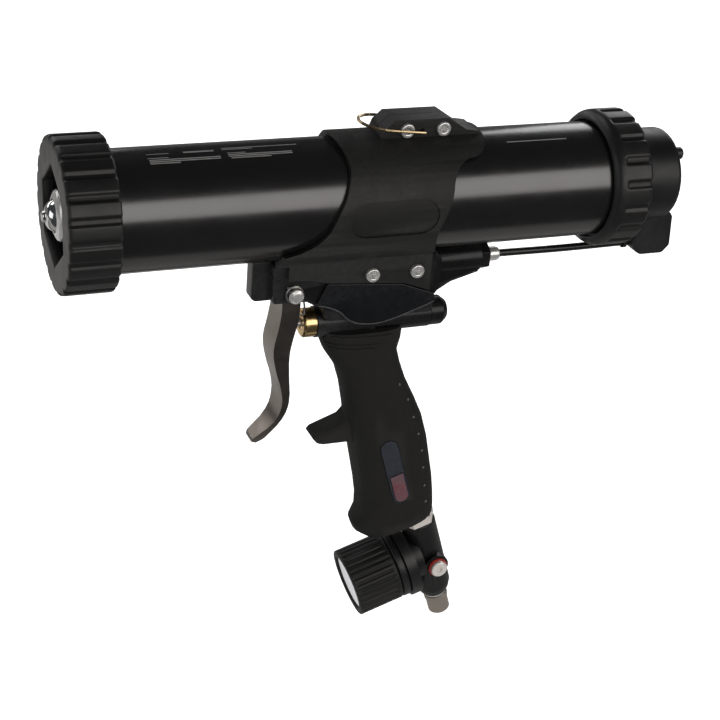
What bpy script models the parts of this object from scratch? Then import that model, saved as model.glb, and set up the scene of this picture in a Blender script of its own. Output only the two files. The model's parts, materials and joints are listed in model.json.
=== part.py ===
"""Air-powered caulking gun: barrel, clamp saddle, trigger valve, grip, regulator and hose.

Sizes are in millimetres; the helpers turn them into Blender's metres.
Barrel axis along X with the muzzle towards -X, grip hanging towards -Z, left side towards -Y.
"""
from math import atan2, cos, pi, radians, sin, sqrt

import bmesh
import bpy
from mathutils import Matrix, Vector

MM = 0.001

# Gaps between pieces
FIT = 0.3
RUN = 0.4

# Barrel tube
BARREL_R = 30.0
BARREL_WALL = 2.5
BARREL_LENGTH = 284.5
THREAD_RISE = 0.8
THREAD_LENGTH = 13.0
BARREL_BORE = BARREL_R - BARREL_WALL

# Front cap
CAP_R = BARREL_R + 8.1
CAP_LENGTH = 25.0
CAP_WALL = 5.0
CAP_BORE = BARREL_R + THREAD_RISE + FIT
OPENING_R = 25.0
OPENING_TURN = radians(8)
SEAL_THICK = 1.4
CAP_GROOVES = 16
CAP_GROOVE_WIDTH = 3.6
CAP_GROOVE_DEPTH = 1.0
TUBE_FRONT = CAP_WALL + SEAL_THICK + 2 * FIT
TUBE_REAR = TUBE_FRONT + BARREL_LENGTH

# Rear ring and rear cap
RING_R = BARREL_R + 6.2
RING_BACK = 13.1
RING_SKIRT = 8.3
RING_CONE = 5.0
RING_GROOVES = 14
FLANGE_FRONT = TUBE_REAR + SEAL_THICK + 2 * FIT
FLANGE_THICK = 5.0
REAR_CAP_R = 24.8
REAR_CAP_LENGTH = 36.3
REAR_CAP_WALL = 4.8
REAR_ROUND = 4.0
REAR_CAP_BACK = FLANGE_FRONT + REAR_CAP_LENGTH
RING_FRONT = TUBE_REAR - RING_SKIRT
RING_REAR = TUBE_REAR + RING_BACK
BLEED_Y = -9.5
BLEED_Z = 14.3

# Piston
PISTON_R = BARREL_BORE - 0.7
PISTON_FRONT = TUBE_FRONT + 4.5
PISTON_LENGTH = 24.0
PISTON_SEAL_WIDTH = 5.0
PISTON_SEAL_DEPTH = 3.5
DOME_R = 12.4
DOME_HEIGHT = 9.3
NOSE_REACH = 7.2

# Saddle: split clamp around the barrel with a lug on top and flanks around the receiver
SADDLE_WALL = 2.7
SADDLE_BORE = BARREL_R + FIT
SADDLE_R = SADDLE_BORE + SADDLE_WALL
FLANK_THICK = 2.7
LUG_HALF = 9.0
LUG_TOP = BARREL_R + 11.0
LUG_FRONT = 162.0
LUG_BACK = 214.0
SPLIT_GAP = 0.4
RAIL_SCREWS = {"front": 173.6, "rear": 193.1}
RAIL_SCREW_Z = BARREL_R + 5.8
CLAMP_SCREWS = {"front": 159.2, "rear": 183.8}
CLAMP_SCREW_Z = -38.2
SCREW_R = 2.0
HEAD_R = 3.7
HEAD_TALL = 1.7
PILL_X = 161.5
PILL_Z = -1.0
PILL_LENGTH = 47.0
PILL_WIDTH = 19.0
PILL_DEPTH = 0.7

# Hanging loop
LOOP_X = 182.0
LOOP_Z = BARREL_R + 5.0
LOOP_WIRE_R = 0.8
LOOP_HALF = 12.3
LOOP_REACH = 30.4
LOOP_TILT = radians(6.5)
LOOP_PEG = 4.5

# Receiver
RECEIVER_HALF = 12.0
RECEIVER_TOP = -(BARREL_R + 0.6)
NOSE_X = 98.6
NOSE_HALF = 4.6
BODY_FRONT = 107.6
SLOT_FRONT = 110.6
SLOT_BACK = 127.3
SLOT_TOP = -38.8
ARM_R = 8.2
ARM_END = 224.5
HOSE_Z = -39.6

# Trigger
PIVOT_X = 118.3
PIVOT_Z = -46.0
TRIGGER_HALF = 9.0
TRIGGER_TIP_HALF = 5.0
PIN_R = 2.5
PIN_HEAD_R = 3.9
SPRING_WIRE_R = 0.5
TRIGGER_COIL_R = 4.4

# Valve
VALVE_Z = -69.5
HOUSING_R = 8.3
HOUSING_FRONT = 134.8
HOUSING_BACK = 198.3
VALVE_BORE = 5.6
STEM_R = 2.0
STEM_FRONT = 123.0
BUSH_FRONT = 127.5
BUSH_FLANGE_R = 7.7
SEAT_X = 154.0
SEAT_LENGTH = 3.0
SEAT_R = 3.4
PLUG_R = 7.9
PLUG_LENGTH = 10.4

# Grip: the duct is the air tube's axis, from the receiver down to the regulator
GRIP_TILT = radians(17.8)
DUCT_FOOT = Vector((207.7, 0.0, -205.0))
DUCT_R = 6.0
DUCT_WALL = 2.0
BOSS_R = 8.0
BOSS_TOP = -134.0
BOSS_FOOT = -112.0
DUCT_TOP = -124.0
DUCT_END = 9.5
BADGE_LENGTH = 42.0
BADGE_WIDTH = 9.8
BADGE_THICK = 0.8
NUT_R = 10.8
NUT_TOP = -7.9
NUT_TALL = 5.0

# Regulator, measured down the duct axis (u) and forward from it (k)
REG_TOP = NUT_TOP + NUT_TALL + FIT
REG_R = 10.3
REG_END = 52.0
KNOB_AXIS_U = 21.2
BONNET_R = 14.0
BONNET_START = 5.0
BONNET_END = 17.2
FLANGE_R = 21.3
FLANGE_START = 11.2
BONNET_FLOOR = 7.6
BONNET_BORE = 11.8
PORT_U = 25.4
PORT_K = -1.4
PORT_BOSS_R = 7.0
PORT_BOSS_HALF = 13.2
KNOB_R = 19.7
KNOB_FRONT = 49.0
KNOB_BACK = 22.0
KNOB_RIBS = 20
COLLAR_R = 19.8
DISC_R = 15.6
SPINDLE_R = 3.0
INLET_FLANGE_R = 7.0
INLET_R = 6.4
INLET_END = 67.0

# Hose
HOSE_R = 2.0
FITTING_HEX_R = 8.0
FITTING_HEX_LONG = 5.0
COLLET_R = 3.9
PORT_BLOCK_FRONT = FLANGE_FRONT + 22.0
PORT_BLOCK_BACK = FLANGE_FRONT + 45.1
PORT_BLOCK_HALF = 9.5
PORT_BLOCK_FOOT = -43.8
AIR_BORE = 1.5

MATERIALS = {
    "tube_black": ((0.012, 0.013, 0.016), 0.16, 0.6),
    "ring_black": ((0.022, 0.022, 0.024), 0.38, 0.0),
    "saddle_black": ((0.020, 0.020, 0.020), 0.55, 0.0),
    "receiver_black": ((0.010, 0.011, 0.014), 0.22, 0.3),
    "grip_black": ((0.024, 0.024, 0.024), 0.70, 0.0),
    "regulator_black": ((0.022, 0.022, 0.024), 0.42, 0.0),
    "seal_rubber": ((0.010, 0.010, 0.010), 0.80, 0.0),
    "seal_red": ((0.450, 0.020, 0.015), 0.55, 0.0),
    "chrome": ((0.780, 0.780, 0.780), 0.08, 1.0),
    "nickel": ((0.640, 0.600, 0.560), 0.24, 1.0),
    "steel": ((0.560, 0.570, 0.580), 0.30, 1.0),
    "brass": ((0.780, 0.570, 0.240), 0.22, 1.0),
    "disc_grey": ((0.480, 0.490, 0.500), 0.45, 0.0),
    "badge_silver": ((0.500, 0.510, 0.530), 0.30, 0.8),
    "badge_tint": ((0.250, 0.070, 0.075), 0.35, 0.0),
    "hose_black": ((0.015, 0.015, 0.016), 0.30, 0.0),
}


# ---------------------------------------------------------------- helpers
def clear_scene():
    for item in list(bpy.data.objects):
        bpy.data.objects.remove(item, do_unlink=True)


def make_collection(name):
    group = bpy.data.collections.new(name)
    bpy.context.scene.collection.children.link(group)
    return group


def make_material(name):
    colour, roughness, metallic = MATERIALS[name]
    mat = bpy.data.materials.get(name)
    if mat is None:
        mat = bpy.data.materials.new(name)
        mat.use_nodes = True
        shader = mat.node_tree.nodes["Principled BSDF"]
        shader.inputs["Base Color"].default_value = (*colour, 1.0)
        shader.inputs["Roughness"].default_value = roughness
        shader.inputs["Metallic"].default_value = metallic
        mat.diffuse_color = (*colour, 1.0)
    return mat


def frame_at(origin, x_axis, y_axis):
    """Placement whose local X and Y point along the two given directions."""
    x_dir = Vector(x_axis).normalized()
    y_dir = Vector(y_axis).normalized()
    z_dir = x_dir.cross(y_dir)
    turn = Matrix((x_dir, y_dir, z_dir)).transposed().to_4x4()
    return Matrix.Translation(Vector(origin) * MM) @ turn


def along(origin, direction):
    """Placement whose local Z runs along the given direction."""
    z_dir = Vector(direction).normalized()
    turn = z_dir.to_track_quat("Z", "Y").to_matrix().to_4x4()
    return Matrix.Translation(Vector(origin) * MM) @ turn


def side_plane(y=0.0):
    """Local X is world X and local Y is world Z, with thickness along Y."""
    return frame_at((0, y, 0), (1, 0, 0), (0, 0, 1))


def cross_plane(x=0.0):
    """Local X is world Y and local Y is world Z, with thickness along X."""
    return frame_at((x, 0, 0), (0, 1, 0), (0, 0, 1))


def on_duct(u, k=0.0, y=0.0):
    """World point at a distance down the duct, forward of it and to the side."""
    return DUCT_FOOT + DOWN * u + FORWARD * k + Vector((0, y, 0))


def finish(obj, mat, smooth=True):
    if mat is None:
        CUTTERS.objects.link(obj)
        obj.hide_render = True
        obj.display_type = "WIRE"
    else:
        PARTS.objects.link(obj)
        obj.data.materials.append(make_material(mat))
        if smooth and obj.type == "MESH":
            obj.data.shade_smooth()
            obj.data.set_sharp_from_angle(angle=radians(30))
    return obj


def from_bmesh(name, bm, placement, mat):
    mesh = bpy.data.meshes.new(name)
    bm.to_mesh(mesh)
    bm.free()
    obj = bpy.data.objects.new(name, mesh)
    obj.matrix_world = placement
    return finish(obj, mat)


def turned(name, profile, placement, mat, steps=32):
    """Turn a profile of (radius, height) points around the placement's local Z."""
    closed = profile[0][0] > 0 and profile[-1][0] > 0
    ring = list(profile) + [profile[0]]
    area = sum(a[0] * b[1] - b[0] * a[1] for a, b in zip(ring, ring[1:]))
    points = profile if area < 0 else profile[::-1]
    bm = bmesh.new()
    verts = [bm.verts.new((r * MM, 0, z * MM)) for r, z in points]
    for a, b in zip(verts, verts[1:]):
        bm.edges.new((a, b))
    if closed:
        bm.edges.new((verts[-1], verts[0]))
    mesh = bpy.data.meshes.new(name)
    bm.to_mesh(mesh)
    bm.free()
    obj = bpy.data.objects.new(name, mesh)
    obj.matrix_world = placement
    finish(obj, mat, smooth=False)
    screw = obj.modifiers.new("Turn", "SCREW")
    screw.steps = steps
    screw.render_steps = steps
    screw.use_merge_vertices = True
    screw.merge_threshold = 0.00001
    return obj


def rod(name, start, end, radius, mat, steps=24, end_radius=None):
    """Round bar between two points, tapered when an end radius is given."""
    start = Vector(start)
    reach = Vector(end) - start
    tip = radius if end_radius is None else end_radius
    bm = bmesh.new()
    bmesh.ops.create_cone(bm, cap_ends=True, segments=steps, radius1=radius * MM,
                          radius2=tip * MM, depth=reach.length * MM)
    bmesh.ops.translate(bm, verts=bm.verts, vec=(0, 0, reach.length * MM / 2))
    return from_bmesh(name, bm, along(start, reach), mat)


def box(name, low, high, mat):
    low = Vector(low)
    high = Vector(high)
    bm = bmesh.new()
    bmesh.ops.create_cube(bm, size=1.0)
    bmesh.ops.scale(bm, verts=bm.verts, vec=(high - low) * MM)
    return from_bmesh(name, bm, Matrix.Translation((low + high) * MM / 2), mat)


def curve_to_mesh(curve_obj, name, placement, mat):
    """Turn an unlinked curve object into a welded closed mesh object."""
    bpy.context.scene.collection.objects.link(curve_obj)
    graph = bpy.context.evaluated_depsgraph_get()
    mesh = bpy.data.meshes.new_from_object(curve_obj.evaluated_get(graph))
    bpy.data.objects.remove(curve_obj, do_unlink=True)
    bm = bmesh.new()
    bm.from_mesh(mesh)
    bmesh.ops.remove_doubles(bm, verts=bm.verts, dist=0.000002)
    bmesh.ops.recalc_face_normals(bm, faces=bm.faces)
    return from_bmesh(name, bm, placement, mat)


def prism(name, outline, placement, thick, mat, smooth_steps=4):
    """Flat outline of (a, b) points, thick along local Z; a third True value rounds a point."""
    data = bpy.data.curves.new(name, "CURVE")
    data.dimensions = "2D"
    data.fill_mode = "BOTH"
    data.extrude = thick * MM / 2
    data.resolution_u = smooth_steps
    spline = data.splines.new("BEZIER")
    spline.bezier_points.add(len(outline) - 1)
    spline.use_cyclic_u = True
    for point, item in zip(spline.bezier_points, outline):
        point.co = (item[0] * MM, item[1] * MM, 0)
        kind = "AUTO" if len(item) > 2 else "VECTOR"
        point.handle_left_type = kind
        point.handle_right_type = kind
    if not any(len(item) > 2 for item in outline):
        data.resolution_u = 1
    return curve_to_mesh(bpy.data.objects.new(name, data), name, placement, mat)


def wire(name, points, radius, mat):
    """Round wire through world points."""
    data = bpy.data.curves.new(name, "CURVE")
    data.dimensions = "3D"
    data.bevel_depth = radius * MM
    data.bevel_resolution = 2
    data.use_fill_caps = True
    spline = data.splines.new("POLY")
    spline.points.add(len(points) - 1)
    for point, place in zip(spline.points, points):
        point.co = (*(Vector(place) * MM), 1)
    return curve_to_mesh(bpy.data.objects.new(name, data), name, Matrix.Identity(4), mat)


def boolean(obj, tool, operation="DIFFERENCE"):
    mod = obj.modifiers.new(tool.name, "BOOLEAN")
    mod.operation = operation
    mod.solver = "EXACT"
    mod.object = tool
    return obj


def bevel(obj, width, segments=1, angle=40):
    mod = obj.modifiers.new("Edges", "BEVEL")
    mod.width = width * MM
    mod.segments = segments
    mod.limit_method = "ANGLE"
    mod.angle_limit = radians(angle)
    return obj


def arc(cx, cy, radius, start, end, count):
    """Points on an arc, angles in degrees."""
    step = (end - start) / count
    angles = [radians(start + step * i) for i in range(count + 1)]
    return [(cx + radius * cos(a), cy + radius * sin(a)) for a in angles]


def polygon(radius, count, turn=0.0):
    return [(radius * cos(turn + 2 * pi * i / count), radius * sin(turn + 2 * pi * i / count))
            for i in range(count)]


def coil_points(placement, radius, start, end, turns, per_turn=8):
    count = int(turns * per_turn)
    points = []
    for i in range(count + 1):
        a = 2 * pi * i / per_turn
        z = start + (end - start) * i / count
        points.append(placement @ (Vector((radius * cos(a), radius * sin(a), z)) * MM) / MM)
    return points


def groove_cutter(name, count, radius, depth, width, front, back, placement):
    """Boxes set around a turned piece that cut its grip grooves."""
    bm = bmesh.new()
    for i in range(count):
        made = bmesh.ops.create_cube(bm, size=1.0)["verts"]
        size = Vector((2 * depth, width, back - front)) * MM
        bmesh.ops.scale(bm, verts=made, vec=size)
        bmesh.ops.translate(bm, verts=made, vec=Vector((radius, 0, (front + back) / 2)) * MM)
        bmesh.ops.rotate(bm, verts=made, cent=(0, 0, 0),
                         matrix=Matrix.Rotation(2 * pi * (i + 0.5) / count, 3, "Z"))
    return from_bmesh(name, bm, placement, None)


def pivot(name, place, children):
    """Empty on a joint's axis that carries the pieces which move on it."""
    empty = bpy.data.objects.new(name, None)
    PARTS.objects.link(empty)
    empty.matrix_world = Matrix.Translation(Vector(place) * MM)
    empty.empty_display_size = 0.01
    for child in children:
        child.parent = empty
        child.matrix_parent_inverse = empty.matrix_world.inverted()
    return empty


# ---------------------------------------------------------------- barrel
def build_barrel():
    thread = THREAD_LENGTH + TUBE_FRONT
    rise = BARREL_R + THREAD_RISE
    profile = [(BARREL_R, TUBE_REAR), (BARREL_R, thread + THREAD_RISE), (rise, thread),
               (rise, TUBE_FRONT), (BARREL_BORE, TUBE_FRONT), (BARREL_BORE, TUBE_REAR)]
    turned("barrel_tube", profile, BARREL_AXIS, "tube_black", 48)


def build_front_cap():
    profile = [(CAP_R - 0.8, CAP_LENGTH), (CAP_R, CAP_LENGTH - 0.8), (CAP_R, 1.0), (CAP_R - 1.0, 0),
               (0, 0), (0, CAP_WALL), (CAP_BORE, CAP_WALL), (CAP_BORE, CAP_LENGTH)]
    cap = turned("front_cap", profile[:4] + [(8.0, 0), (8.0, CAP_WALL)] + profile[6:], BARREL_AXIS,
                 "ring_black", 48)
    grooves = groove_cutter("cap_grooves", CAP_GROOVES, CAP_R, CAP_GROOVE_DEPTH, CAP_GROOVE_WIDTH,
                            -1, CAP_LENGTH + 1, BARREL_AXIS)
    boolean(cap, grooves)
    opening = prism("cap_opening", polygon(OPENING_R, 6, pi / 2 - OPENING_TURN), cross_plane(),
                    4 * CAP_WALL, None)
    boolean(cap, opening)
    gasket = [(CAP_BORE - 0.5, CAP_WALL + FIT + SEAL_THICK), (CAP_BORE - 0.5, CAP_WALL + FIT),
              (OPENING_R + 0.4, CAP_WALL + FIT), (OPENING_R + 0.4, CAP_WALL + FIT + SEAL_THICK)]
    seal = turned("front_gasket", gasket, BARREL_AXIS, "seal_rubber", 32)
    pivot("cap_axis", (0, 0, 0), [cap])
    pivot("cap_travel", (CAP_WALL, 0, 0), [seal])


def build_piston():
    back = PISTON_FRONT + PISTON_LENGTH
    groove = PISTON_FRONT + 8.0
    inner = PISTON_R - PISTON_SEAL_DEPTH
    wall = 4.0
    bolt = 4.2
    body = [(PISTON_R, back), (PISTON_R, groove + PISTON_SEAL_WIDTH + FIT),
            (inner, groove + PISTON_SEAL_WIDTH + FIT), (inner, groove - FIT), (PISTON_R, groove - FIT),
            (PISTON_R, PISTON_FRONT + 2.0), (PISTON_R - 2.0, PISTON_FRONT), (9.6, PISTON_FRONT),
            (9.0, PISTON_FRONT - NOSE_REACH), (bolt, PISTON_FRONT - NOSE_REACH),
            (bolt, PISTON_FRONT + 7.0), (inner - wall, PISTON_FRONT + 7.0), (inner - wall, back)]
    seal = [(BARREL_BORE - FIT, groove + PISTON_SEAL_WIDTH), (BARREL_BORE - FIT, groove),
            (inner + FIT, groove), (inner + FIT, groove + PISTON_SEAL_WIDTH)]
    base = PISTON_FRONT - NOSE_REACH - FIT
    washer = [(DOME_R, base), (DOME_R, base - 1.5), (DOME_R - 0.9, base - 2.6), (DOME_R - 2.8, base - 3.4),
              (8.2, base - 3.8), (8.2, base)]
    tall = DOME_HEIGHT
    stem = bolt - FIT
    nut = [(stem, PISTON_FRONT + 9.0), (stem, base), (7.8, base), (7.8, base - 5.2),
           (7.0, base - 6.4), (5.2, base - 7.3), (3.3, base - 7.7), (3.1, base - tall + 0.7),
           (2.1, base - tall + 0.1), (0, base - tall)]
    nut = [(0, PISTON_FRONT + 9.0)] + nut
    pieces = [turned("piston_body", body, BARREL_AXIS, "ring_black", 40),
              turned("piston_seal", seal, BARREL_AXIS, "seal_rubber", 40),
              turned("piston_washer", washer, BARREL_AXIS, "chrome", 32),
              turned("piston_nut", nut, BARREL_AXIS, "chrome", 28)]
    pivot("piston_travel", (PISTON_FRONT, 0, 0), pieces)


def build_rear():
    bore = BARREL_R + FIT
    lip = FLANGE_FRONT + FLANGE_THICK + FIT
    cone_end = RING_FRONT + RING_CONE
    profile = [(RING_R - 0.8, RING_REAR), (RING_R, RING_REAR - 0.8), (RING_R, cone_end),
               (BARREL_R + 2.6, RING_FRONT), (bore, RING_FRONT), (bore, lip),
               (REAR_CAP_R + FIT, lip), (REAR_CAP_R + FIT, RING_REAR)]
    ring = turned("rear_ring", profile, BARREL_AXIS, "ring_black", 48)
    boolean(ring, groove_cutter("ring_grooves", RING_GROOVES, RING_R, CAP_GROOVE_DEPTH,
                                CAP_GROOVE_WIDTH, cone_end + 1.0, RING_REAR + 1, BARREL_AXIS))
    cavity = REAR_CAP_R - REAR_CAP_WALL
    edge = [(REAR_CAP_BACK - REAR_ROUND + y, REAR_CAP_R - REAR_ROUND + x)
            for x, y in arc(0, 0, REAR_ROUND, 0, 90, 4)]
    body = [(0, REAR_CAP_BACK)] + [(r, x) for x, r in edge[::-1]]
    body += [(REAR_CAP_R, FLANGE_FRONT + FLANGE_THICK), (BARREL_R, FLANGE_FRONT + FLANGE_THICK),
             (BARREL_R, FLANGE_FRONT), (cavity, FLANGE_FRONT), (cavity, REAR_CAP_BACK - 6.0),
             (0, REAR_CAP_BACK - 6.0)]
    cap = turned("rear_cap", body, BARREL_AXIS, "regulator_black", 40)
    front, back, foot = PORT_BLOCK_FRONT, PORT_BLOCK_BACK, PORT_BLOCK_FOOT
    outline = [(front, -cavity - 1.5), (front, foot + 3.6), (front + 4.0, foot), (back - 4.0, foot),
               (back, foot + 4.5), (back - 1.2, -cavity - 2.0), (back - 6.0, -cavity + 2.5),
               (REAR_CAP_BACK - 5.0, -cavity + 2.5), (REAR_CAP_BACK - 5.0, -cavity - 1.5)]
    block = prism("port_block", outline, side_plane(), 2 * PORT_BLOCK_HALF, None)
    bevel(block, 1.5, 2)
    boolean(cap, block, "UNION")
    elbow = front + 11.0
    bores = [rod("hose_socket", (front - 1, 0, HOSE_Z), (front + 5, 0, HOSE_Z), HOSE_R + FIT, None, 16),
             rod("port_level", (front + 4, 0, HOSE_Z), (elbow, 0, HOSE_Z), AIR_BORE, None, 12),
             rod("port_rise", (elbow, 0, HOSE_Z - AIR_BORE), (elbow, 0, -cavity + 3), AIR_BORE, None, 12),
             rod("bleed_hole", (REAR_CAP_BACK - 4.5, BLEED_Y, BLEED_Z),
                 (REAR_CAP_BACK + 1, BLEED_Y, BLEED_Z), 1.6 + FIT, None, 12)]
    for tool in bores:
        boolean(cap, tool)
    seal = [(BARREL_R - 0.3, TUBE_REAR + FIT + SEAL_THICK), (BARREL_R - 0.3, TUBE_REAR + FIT),
            (BARREL_BORE, TUBE_REAR + FIT), (BARREL_BORE, TUBE_REAR + FIT + SEAL_THICK)]
    turned("rear_seal", seal, BARREL_AXIS, "seal_rubber", 32)
    place = frame_at((REAR_CAP_BACK, BLEED_Y, BLEED_Z), (0, 0, -1), (0, 1, 0))
    plug = [(0, 5.0), (2.9, 5.0), (3.3, 4.4), (3.3, FIT), (1.6, FIT), (1.6, -4.0), (0, -4.0)]
    turned("bleed_plug", plug, place, "steel", 20)


# ---------------------------------------------------------------- saddle
def saddle_section(side):
    """Half ring around the barrel that runs down into a flank beside the receiver."""
    inner = RECEIVER_HALF + FIT
    outer = inner + FLANK_THICK
    low = -60.0
    half_gap = SPLIT_GAP / 2
    start = 90 - atan2(half_gap, SADDLE_R) * 180 / pi
    outer_end = -atan2(sqrt(SADDLE_R ** 2 - outer ** 2), outer) * 180 / pi
    inner_end = -atan2(sqrt(SADDLE_BORE ** 2 - inner ** 2), inner) * 180 / pi
    points = arc(0, 0, SADDLE_R, start, outer_end, 20)
    points += [(outer, low), (inner, low)]
    points += arc(0, 0, SADDLE_BORE, inner_end, start, 20)
    return [(side * y, z) for y, z in points]


def saddle_outline():
    """Side view of the saddle, ring and flank together."""
    top = SADDLE_R + 3.0
    tongue = RECEIVER_TOP + 0.3
    return [(134.0, top), (139.3, 27.0, True), (136.6, 13.6, True), (131.7, 3.2, True),
            (126.0, -8.2, True), (117.0, -16.2, True), (BODY_FRONT, -20.4), (BODY_FRONT, tongue),
            (PIVOT_X - 4.0, tongue), (PIVOT_X - 4.0, PIVOT_Z + 8.2),
            (PIVOT_X + 8.2, PIVOT_Z + 7.2), (135.7, -41.0), (177.7, -44.8), (192.0, -50.0),
            (192.0, -30.0), (187.5, -20.0, True), (186.1, -10.8, True), (188.7, -1.7, True),
            (191.8, 8.3, True), (194.2, 17.6, True), (200.0, 23.3, True), (209.0, 25.5, True),
            (214.5, 30.0, True), (216.0, top)]


def lug_outline():
    foot = SADDLE_BORE + 0.9
    return [(LUG_FRONT - 2.0, foot), (LUG_FRONT, LUG_TOP - 4.5), (LUG_FRONT + 5.0, LUG_TOP),
            (LUG_BACK - 18.0, LUG_TOP), (LUG_BACK - 8.0, LUG_TOP - 6.5),
            (LUG_BACK - 1.0, SADDLE_R + 0.4), (LUG_BACK, foot)]


def pill_cutter():
    """Shallow flat-ended recess that follows the saddle's round."""
    half = PILL_WIDTH / 2
    run = PILL_LENGTH / 2 - half
    outline = arc(PILL_X + run, PILL_Z, half, -90, 90, 8) + arc(PILL_X - run, PILL_Z, half, 90, 270, 8)
    cutter = prism("pill_recess", outline, side_plane(-SADDLE_R), 16.0, None)
    core = rod("pill_floor", (PILL_X - PILL_LENGTH, 0, 0), (PILL_X + PILL_LENGTH, 0, 0),
               SADDLE_R - PILL_DEPTH, None, 64)
    return boolean(cutter, core)


def build_saddle():
    depth = 160.0
    middle = (NOSE_X + LUG_BACK) / 2
    screw_hole = SCREW_R + FIT
    holes = []
    for spot, x in RAIL_SCREWS.items():
        holes.append(rod("rail_hole_" + spot, (x, -40, RAIL_SCREW_Z), (x, 40, RAIL_SCREW_Z),
                         screw_hole, None, 16))
    for spot, x in CLAMP_SCREWS.items():
        holes.append(rod("clamp_hole_" + spot, (x, -40, CLAMP_SCREW_Z), (x, 40, CLAMP_SCREW_Z),
                         screw_hole, None, 16))
    for side, name in ((-1, "left"), (1, "right")):
        half = prism("saddle_" + name, saddle_section(side), cross_plane(middle), depth, "saddle_black")
        shape = prism("saddle_view_" + name, saddle_outline(), side_plane(side * 30.0), 62.0, None)
        boolean(half, shape, "INTERSECT")
        width = LUG_HALF - SPLIT_GAP / 2
        lug = prism("lug_" + name, lug_outline(), side_plane(side * (LUG_HALF + SPLIT_GAP / 2) / 2),
                    width, None)
        boolean(half, lug, "UNION")
        for hole in holes:
            boolean(half, hole)
        peg = rod("peg_hole_" + name, (LOOP_X, side * (LUG_HALF - LOOP_PEG), LOOP_Z),
                  (LOOP_X, side * 20, LOOP_Z), LOOP_WIRE_R + RUN, None, 12)
        boolean(half, peg)
        if side < 0:
            boolean(half, pill_cutter())
    return holes


def socket_screw(name, x, z, head_y, tip_y, mat):
    """Socket-head screw along Y, its head outside the left face."""
    place = frame_at((x, head_y, z), (1, 0, 0), (0, 0, 1))
    key = 1.6
    deep = 1.1
    reach = head_y - tip_y
    profile = [(HEAD_R - 0.5, HEAD_TALL), (HEAD_R, HEAD_TALL - 0.5), (HEAD_R, 0), (SCREW_R, 0),
               (SCREW_R, reach), (0, reach), (0, HEAD_TALL - deep), (key, HEAD_TALL - deep),
               (key, HEAD_TALL)]
    return turned(name, profile, place, mat, 20)


def screw_nut(name, x, z, face_y, mat):
    """Hexagon nut along Y that stands on the right face."""
    place = frame_at((x, face_y + HEAD_TALL / 2, z), (1, 0, 0), (0, 0, 1))
    nut = prism(name, polygon(HEAD_R, 6), place, HEAD_TALL, mat)
    hole = rod(name + "_hole", (x, face_y - 1, z), (x, face_y + HEAD_TALL + 1, z), SCREW_R + FIT,
               None, 16)
    return boolean(nut, hole)


def build_fasteners():
    flank = RECEIVER_HALF + FIT + FLANK_THICK
    for spot, x in RAIL_SCREWS.items():
        socket_screw("rail_screw_" + spot, x, RAIL_SCREW_Z, -(LUG_HALF + FIT), LUG_HALF + FIT + 1.4,
                     "steel")
        screw_nut("rail_nut_" + spot, x, RAIL_SCREW_Z, LUG_HALF + FIT, "steel")
    for spot, x in CLAMP_SCREWS.items():
        socket_screw("clamp_screw_" + spot, x, CLAMP_SCREW_Z, -(flank + FIT), flank + FIT + 1.4,
                     "steel")
        screw_nut("clamp_nut_" + spot, x, CLAMP_SCREW_Z, flank + FIT, "steel")


def build_loop():
    """Spring-wire hanger: two pegs in the lug, two legs and a round front."""
    run = LOOP_REACH - LOOP_HALF
    path = [(0, -(LUG_HALF - LOOP_PEG + 0.6)), (0, -LOOP_HALF)]
    path += [(-run + r * -1, y) for r, y in arc(0, 0, LOOP_HALF, -90, 90, 12)]
    path += [(0, LOOP_HALF), (0, LUG_HALF - LOOP_PEG + 0.6)]
    rise = sin(LOOP_TILT)
    level = cos(LOOP_TILT)
    points = [(LOOP_X + d * level, y, LOOP_Z - d * rise) for d, y in path]
    loop = wire("hang_loop", points, LOOP_WIRE_R, "brass")
    pivot("loop_pivot", (LOOP_X, 0, LOOP_Z), [loop])


# ---------------------------------------------------------------- receiver, trigger and valve
def receiver_outline():
    top = RECEIVER_TOP
    front = HOUSING_FRONT + 0.8
    back = HOUSING_BACK - 1.2
    return [(BODY_FRONT, top), (196.0, top), (200.0, top - 3.4), (200.0, -51.0), (back, -55.0),
            (back, -65.0), (140.0, -65.0), (front, -62.0), (front, -58.0),
            (SLOT_BACK - 1.0, -52.6), (BODY_FRONT, -52.2)]


def nose_outline():
    top = RECEIVER_TOP - 0.4
    back = BODY_FRONT + 2.2
    return [(NOSE_X, top), (back, top), (back, -52.5), (NOSE_X + 1.4, -52.5), (NOSE_X, -51.0)]


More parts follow.
